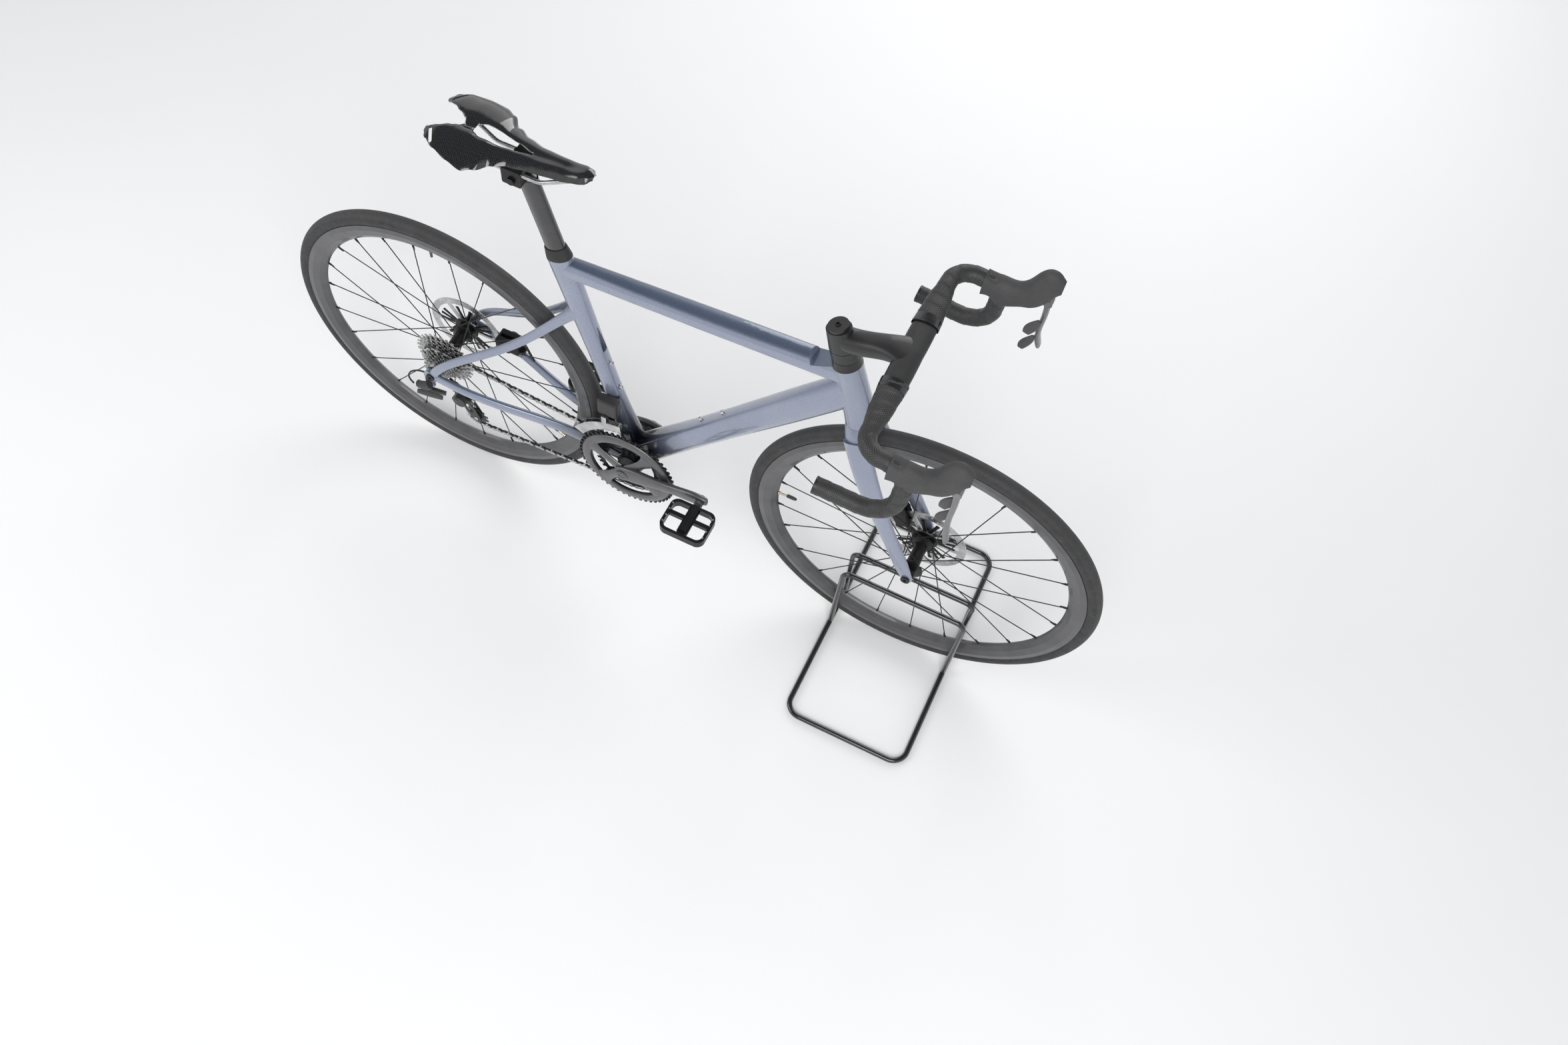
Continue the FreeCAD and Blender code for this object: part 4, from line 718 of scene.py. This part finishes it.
def rounded(points, radii, step=0.0025):
    """Even points along straight runs joined by tangent arcs."""
    out = [points[0]]
    for i in range(1, len(points) - 1):
        p = points[i]
        back, on = (points[i - 1] - p).normalized(), (points[i + 1] - p).normalized()
        half = back.angle(on) / 2
        run = radii[i] / math.tan(half)
        a, b = p + back * run, p + on * run
        centre = p + (back + on).normalized() * (radii[i] / math.sin(half))
        out.append(a)
        u, v = (a - centre), (b - centre)
        turn = u.angle(v)
        n = max(2, int(turn * radii[i] / step))
        for k in range(1, n + 1):
            t = turn * k / n
            out.append(centre + (u * math.sin(turn - t) + v * math.sin(t)) / math.sin(turn))
    out.append(points[-1])
    even, last = [out[0]], out[0]
    for p in out[1:]:
        gap = (p - last).length
        n = int(gap / step)
        for k in range(n):
            even.append(last.lerp(p, (k + 1) / n))
        if not n and gap > step * 0.3:
            even.append(p)
        last = even[-1]
    return even


TAPE_ROUTE = ((0, 0.058, 0), (0, 0.188, 0), (0.078, 0.191, -0.001), (0.073, 0.202, -0.120),
              (-0.048, 0.206, -0.110))


def tape():
    for name, s in (("left", 1), ("right", -1)):
        path = [Vector((BAR.x + x, s * y, BAR.z + z)) for x, y, z in TAPE_ROUTE]
        pts = rounded(path, [0, 0.034, 0.038, 0.052, 0])
        stations = []
        for p in pts:
            y = abs(p.y)
            on_top = y < 0.150 and p.x < BAR.x + 0.005
            a = lerp(((0.058, 0.020), (0.110, 0.017), (0.150, 0.0121)), y) if on_top else 0.0119
            b = lerp(((0.058, 0.0100), (0.110, 0.0105), (0.150, 0.0121)), y) if on_top else 0.0119
            stations.append((p, a + 0.0017, b + 0.0017))
        pitch = 0.021

        def wrap(run, w):
            phase = (run / pitch + s * w / (2 * math.pi)) % 1.0
            edge = min(1.0, phase / 0.06)
            return 0.0009 * edge * (1 - phase * 0.85)
        v, f, uv = sweep(stations, 40, wrap)
        o = piece("bar_tape_" + name, v, f, "tape", "steering", uvs=uv, smooth=60)
        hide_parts("bar_tape")
        band = [(p, a + 0.0007, b + 0.0007) for p, a, b in stations[:8]]
        v, f, uv = sweep(band, 40)
        piece("tape_finish_" + name, v, f, "gloss_black", "steering")


tape()


# ---------------------------------------------------------------- saddle
def saddle():
    lo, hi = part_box("saddle")
    length = hi.x - lo.x
    outer = ((0, .040), (.03, .052), (.10, .0625), (.20, .0700), (.29, .0730), (.36, .0640), (.43, .0450),
             (.52, .0340), (.64, .0275), (.80, .0235), (.92, .0205), (.97, .0165), (1, .0060))
    inner = ((0, .0300), (.06, .0240), (.12, .0150), (.165, .0080), (.18, .0), (.235, .0), (.25, .0085),
             (.30, .0145), (.38, .0135), (.50, .0085), (.60, .0025), (.62, .0), (1, .0))
    top = ((0, .9775), (.08, .9812), (.18, .9815), (.32, .9775), (.45, .9720), (.62, .9705), (.82, .9735),
           (.95, .9775), (1, .9735))
    drop = ((0, .006), (.10, .012), (.20, .018), (.30, .0215), (.38, .018), (.46, .013), (.60, .013),
            (.80, .0145), (.95, .013), (1, .005))
    dish = ((0, .001), (.14, .004), (.20, .009), (.27, .006), (.45, .003), (.62, .0035), (.85, .003), (1, .0))
    rows, cols = 96, 14
    verts, faces = [], []
    for side in (1, -1):
        base = len(verts)
        for i in range(rows + 1):
            s = i / rows
            yi, yo = lerp(inner, s), lerp(outer, s)
            for j in range(cols + 1):
                t = j / cols
                y = yi + (yo - yi) * (1 - (1 - t) ** 1.25)
                share = y / yo
                z = lerp(top, s) - lerp(drop, s) * share ** 2.8
                z -= lerp(dish, s) * math.exp(-(y / .011) ** 2)
                lip = 0.0018 * math.exp(-((y - yi) / .0022) ** 2) if yi > 0.001 else 0.0
                verts.append(Vector((lo.x + length * s, side * y, z - lip)))
        n = cols + 1
        for i in range(rows):
            for j in range(cols):
                first = base + i * n + j
                quad = (first, first + n, first + n + 1, first + 1)
                faces.append(quad if side > 0 else quad[::-1])
    o = piece("saddle_shell", verts, faces, "saddle", None)
    weld = o.modifiers.new("weld", "WELD")
    weld.merge_threshold = 0.0003
    thick = o.modifiers.new("thick", "SOLIDIFY")
    thick.thickness = 0.0046
    thick.offset = 1.0 if o.data.polygons[0].normal.z < 0 else -1.0
    cutters = []
    for side in (1, -1):
        a, b = Vector((lo.x + .0085, side * .0325, 0)), Vector((lo.x + .0205, side * .0545, 0))
        along = (b - a).normalized()
        across = Vector((-along.y, along.x, 0))
        ring = []
        for end, at in ((b, 0), (a, 180)):
            for k in range(9):
                t = math.radians(at - 90 + 22.5 * k)
                ring.append(end + along * (.0026 * math.cos(t)) + across * (.0026 * math.sin(t)))
        m = len(ring)
        v = [p + Z * .93 for p in ring] + [p + Z * 1.02 for p in ring]
        f = [tuple(range(m))[::-1], tuple(range(m, 2 * m))]
        f += [(k, (k + 1) % m, m + (k + 1) % m, m + k) for k in range(m)]
        mesh = bpy.data.meshes.new("cutter")
        mesh.from_pydata([tuple(p) for p in v], [], f)
        c = bpy.data.objects.new("cutter", mesh)
        bpy.context.scene.collection.objects.link(c)
        cutters.append(c)
        cut = o.modifiers.new("cut", "BOOLEAN")
        cut.object = c
        cut.operation = "DIFFERENCE"
    soft = o.modifiers.new("edges", "BEVEL")
    soft.width = 0.0012
    soft.segments = 3
    soft.limit_method = "ANGLE"
    soft.angle_limit = math.radians(50)
    bpy.context.view_layer.update()
    final = bpy.data.meshes.new_from_object(o.evaluated_get(bpy.context.evaluated_depsgraph_get()))
    o.modifiers.clear()
    o.data = final
    for c in cutters:
        bpy.data.objects.remove(c)
    for p in final.polygons:
        p.use_smooth = True
    final.set_sharp_from_angle(angle=math.radians(45))
    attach(o, "saddle")
    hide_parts("saddle")


saddle()


# ---------------------------------------------------------------- crankset
CRANK_TILT = 12.5
SPIDER_ANGLES = (38, 142, 218, 322)


def crankset():
    groups = []
    face = [(.0770, -.0502), (.0778, -.0530), (.0830, -.0543),
            (.0905, -.0538), (.0952, -.0520), (.0962, -.0502)]
    groups.append(turned(face, BB, Y, 120))
    arm_sections = ((.014, .0042, .0130, -.0560), (.034, .0036, .0105, -.0548), (.056, .0030, .0110, -.0535),
                    (.070, .0026, .0150, -.0528), (.0815, .0018, .0215, -.0522))
    for spread in SPIDER_ANGLES:
        out = polar(CRANK_TILT + spread)
        stations = [(BB + out * r + Y * y, thick, wide) for r, thick, wide, y in arm_sections]
        v, f, _ = sweep(stations, 20)
        groups.append((v, f))
    v, f = join(groups)
    piece("chainring_face", v, f, "crank", "crank")
    groups = []
    for spread in SPIDER_ANGLES:
        c = BB + polar(CRANK_TILT + spread, .0555) + Y * -.0385
        groups.append(bolt(c, Y, .0056, .0022, 0.55))
    arm = polar(CRANK_TILT)
    v, f = join(groups)
    piece("chainring_bolts", v, f, "silver", "crank")
    cap = [(.0135, -.0680), (.0132, -.0694), (.0110, -.0700),
           (.0070, -.0700), (.0060, -.0688), (.0001, -.0686)]
    v, f = join([turned(cap, BB, Y, 40)])
    piece("crank_axle_cap", v, f, "crank", "crank")
    left_cap = [(.0112, .0640), (.0110, .0664), (.0092, .0672),
                (.0055, .0670), (.0050, .0655), (.0001, .0655)]
    groups = [turned(left_cap, BB, Y, 36)]
    for k in (.020, .032):
        at = BB - arm * k + Y * .058 + polar(CRANK_TILT + 90, .0165)
        groups.append(bolt(at, polar(CRANK_TILT + 90), .0032, .0030))
    v, f = join(groups)
    piece("left_crank_bolts", v, f, "anodised", "crank")


crankset()


# ---------------------------------------------------------------- small fittings
CAGE_FACE_Y = -.0478


def fittings():
    def add(name, groups, material, body):
        v, f = join(groups)
        piece(name, v, f, material, body)

    groups = []
    for name, axle, body in (("rear", REAR, "frame"), ("front", FRONT, "steering")):
        lo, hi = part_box("rear_thru_axle" if axle is REAR else "front_thru_axle")
        socket = bolt(Vector((axle.x, hi.y - .0012, axle.z)), Y, .0070, .0012, .48)
        add(name + "_axle_socket", [socket], "anodised", body)
    lo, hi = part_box("cassette")
    lock = [(.0170, .0), (.0172, -.0016), (.0158, -.0022), (.0120, -.0022), (.0112, -.0006)]
    ring = turned(lock, Vector((REAR.x, lo.y + .0004, REAR.z)), Y, 48)
    add("cassette_lockring", [ring], "silver", "driver")
    top = HEAD_TOP + HEAD_DIR * .0832
    cap = bolt(top - HEAD_DIR * .0008, HEAD_DIR, .0045, .0026)
    add("top_cap_bolt", [cap], "anodised", "steering")
    for pulley, at in (("guide_pulley", GUIDE), ("tension_pulley", TENSION)):
        head = bolt(Vector((at.x, CAGE_FACE_Y - .0002, at.z)), -Y, .0042, .0016)
        add(pulley + "_bolt", [head], "silver", "chain_cage")
    pin = [(.0016, 0), (.0016, .0022), (.0009, .0024), (.0001, .0024)]
    for name in ("right", "left"):
        joint = place(name + "_pedal_spin")
        groups = []
        lo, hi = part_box(name + "_pedal")
        for dx in (-1, 1):
            for k in range(4):
                y = lo.y + (hi.y - lo.y) * (0.2 + 0.2 * k)
                for up in (-1, 1):
                    at = Vector((joint.x + dx * ((hi.x - lo.x) / 2 - .0045), y, joint.z + up * .0085))
                    groups.append(turned(pin, at, Z * up, 10))
        add(name + "_pedal_pins", groups, "silver", name + "_pedal")


fittings()


# ---------------------------------------------------------------- floor and light
def stage():
    v = [(-30, -30, 0), (30, -30, 0), (30, 30, 0), (-30, 30, 0)]
    mesh = bpy.data.meshes.new("floor")
    mesh.from_pydata(v, [], [(0, 1, 2, 3)])
    floor = bpy.data.objects.new("floor", mesh)
    bpy.context.scene.collection.objects.link(floor)
    m = Mat("floor_white", rough=0.6)
    m.colour(m.ramp(m.noise(1.5, 3), (0.3, grey(0.965)), (0.7, grey(0.980))))
    mesh.materials.append(m.m)
    world = bpy.data.worlds.new("studio")
    world.use_nodes = True
    t = world.node_tree
    t.nodes.clear()
    out = t.nodes.new("ShaderNodeOutputWorld")
    bg = t.nodes.new("ShaderNodeBackground")
    coord = t.nodes.new("ShaderNodeTexCoord")
    parts = t.nodes.new("ShaderNodeSeparateXYZ")
    ramp = t.nodes.new("ShaderNodeValToRGB")
    ramp.color_ramp.elements[0].position = 0.56
    ramp.color_ramp.elements[0].color = (1.0, 1.0, 1.0, 1)
    ramp.color_ramp.elements[1].position = 0.74
    ramp.color_ramp.elements[1].color = (0.20, 0.21, 0.24, 1)
    t.links.new(coord.outputs["Generated"], parts.inputs[0])
    t.links.new(parts.outputs[2], ramp.inputs[0])
    t.links.new(ramp.outputs[0], bg.inputs["Color"])
    bg.inputs["Strength"].default_value = 0.76
    t.links.new(bg.outputs[0], out.inputs[0])
    bpy.context.scene.world = world
    for name, at, size, power, target in (("key", (1.2, -2.6, 3.0), 2.2, 76, (0, 0, .4)),
                                          ("fill", (-2.6, -1.4, 2.4), 2.0, 32, (0, 0, .4)),
                                          ("back", (0.2, 3.0, 2.2), 2.4, 44, (0, 0, .4))):
        data = bpy.data.lights.new(name, "AREA")
        data.size = size
        data.energy = power
        o = bpy.data.objects.new(name, data)
        o.location = at
        o.rotation_euler = (Vector(target) - Vector(at)).to_track_quat("-Z", "Y").to_euler()
        bpy.context.scene.collection.objects.link(o)


stage()
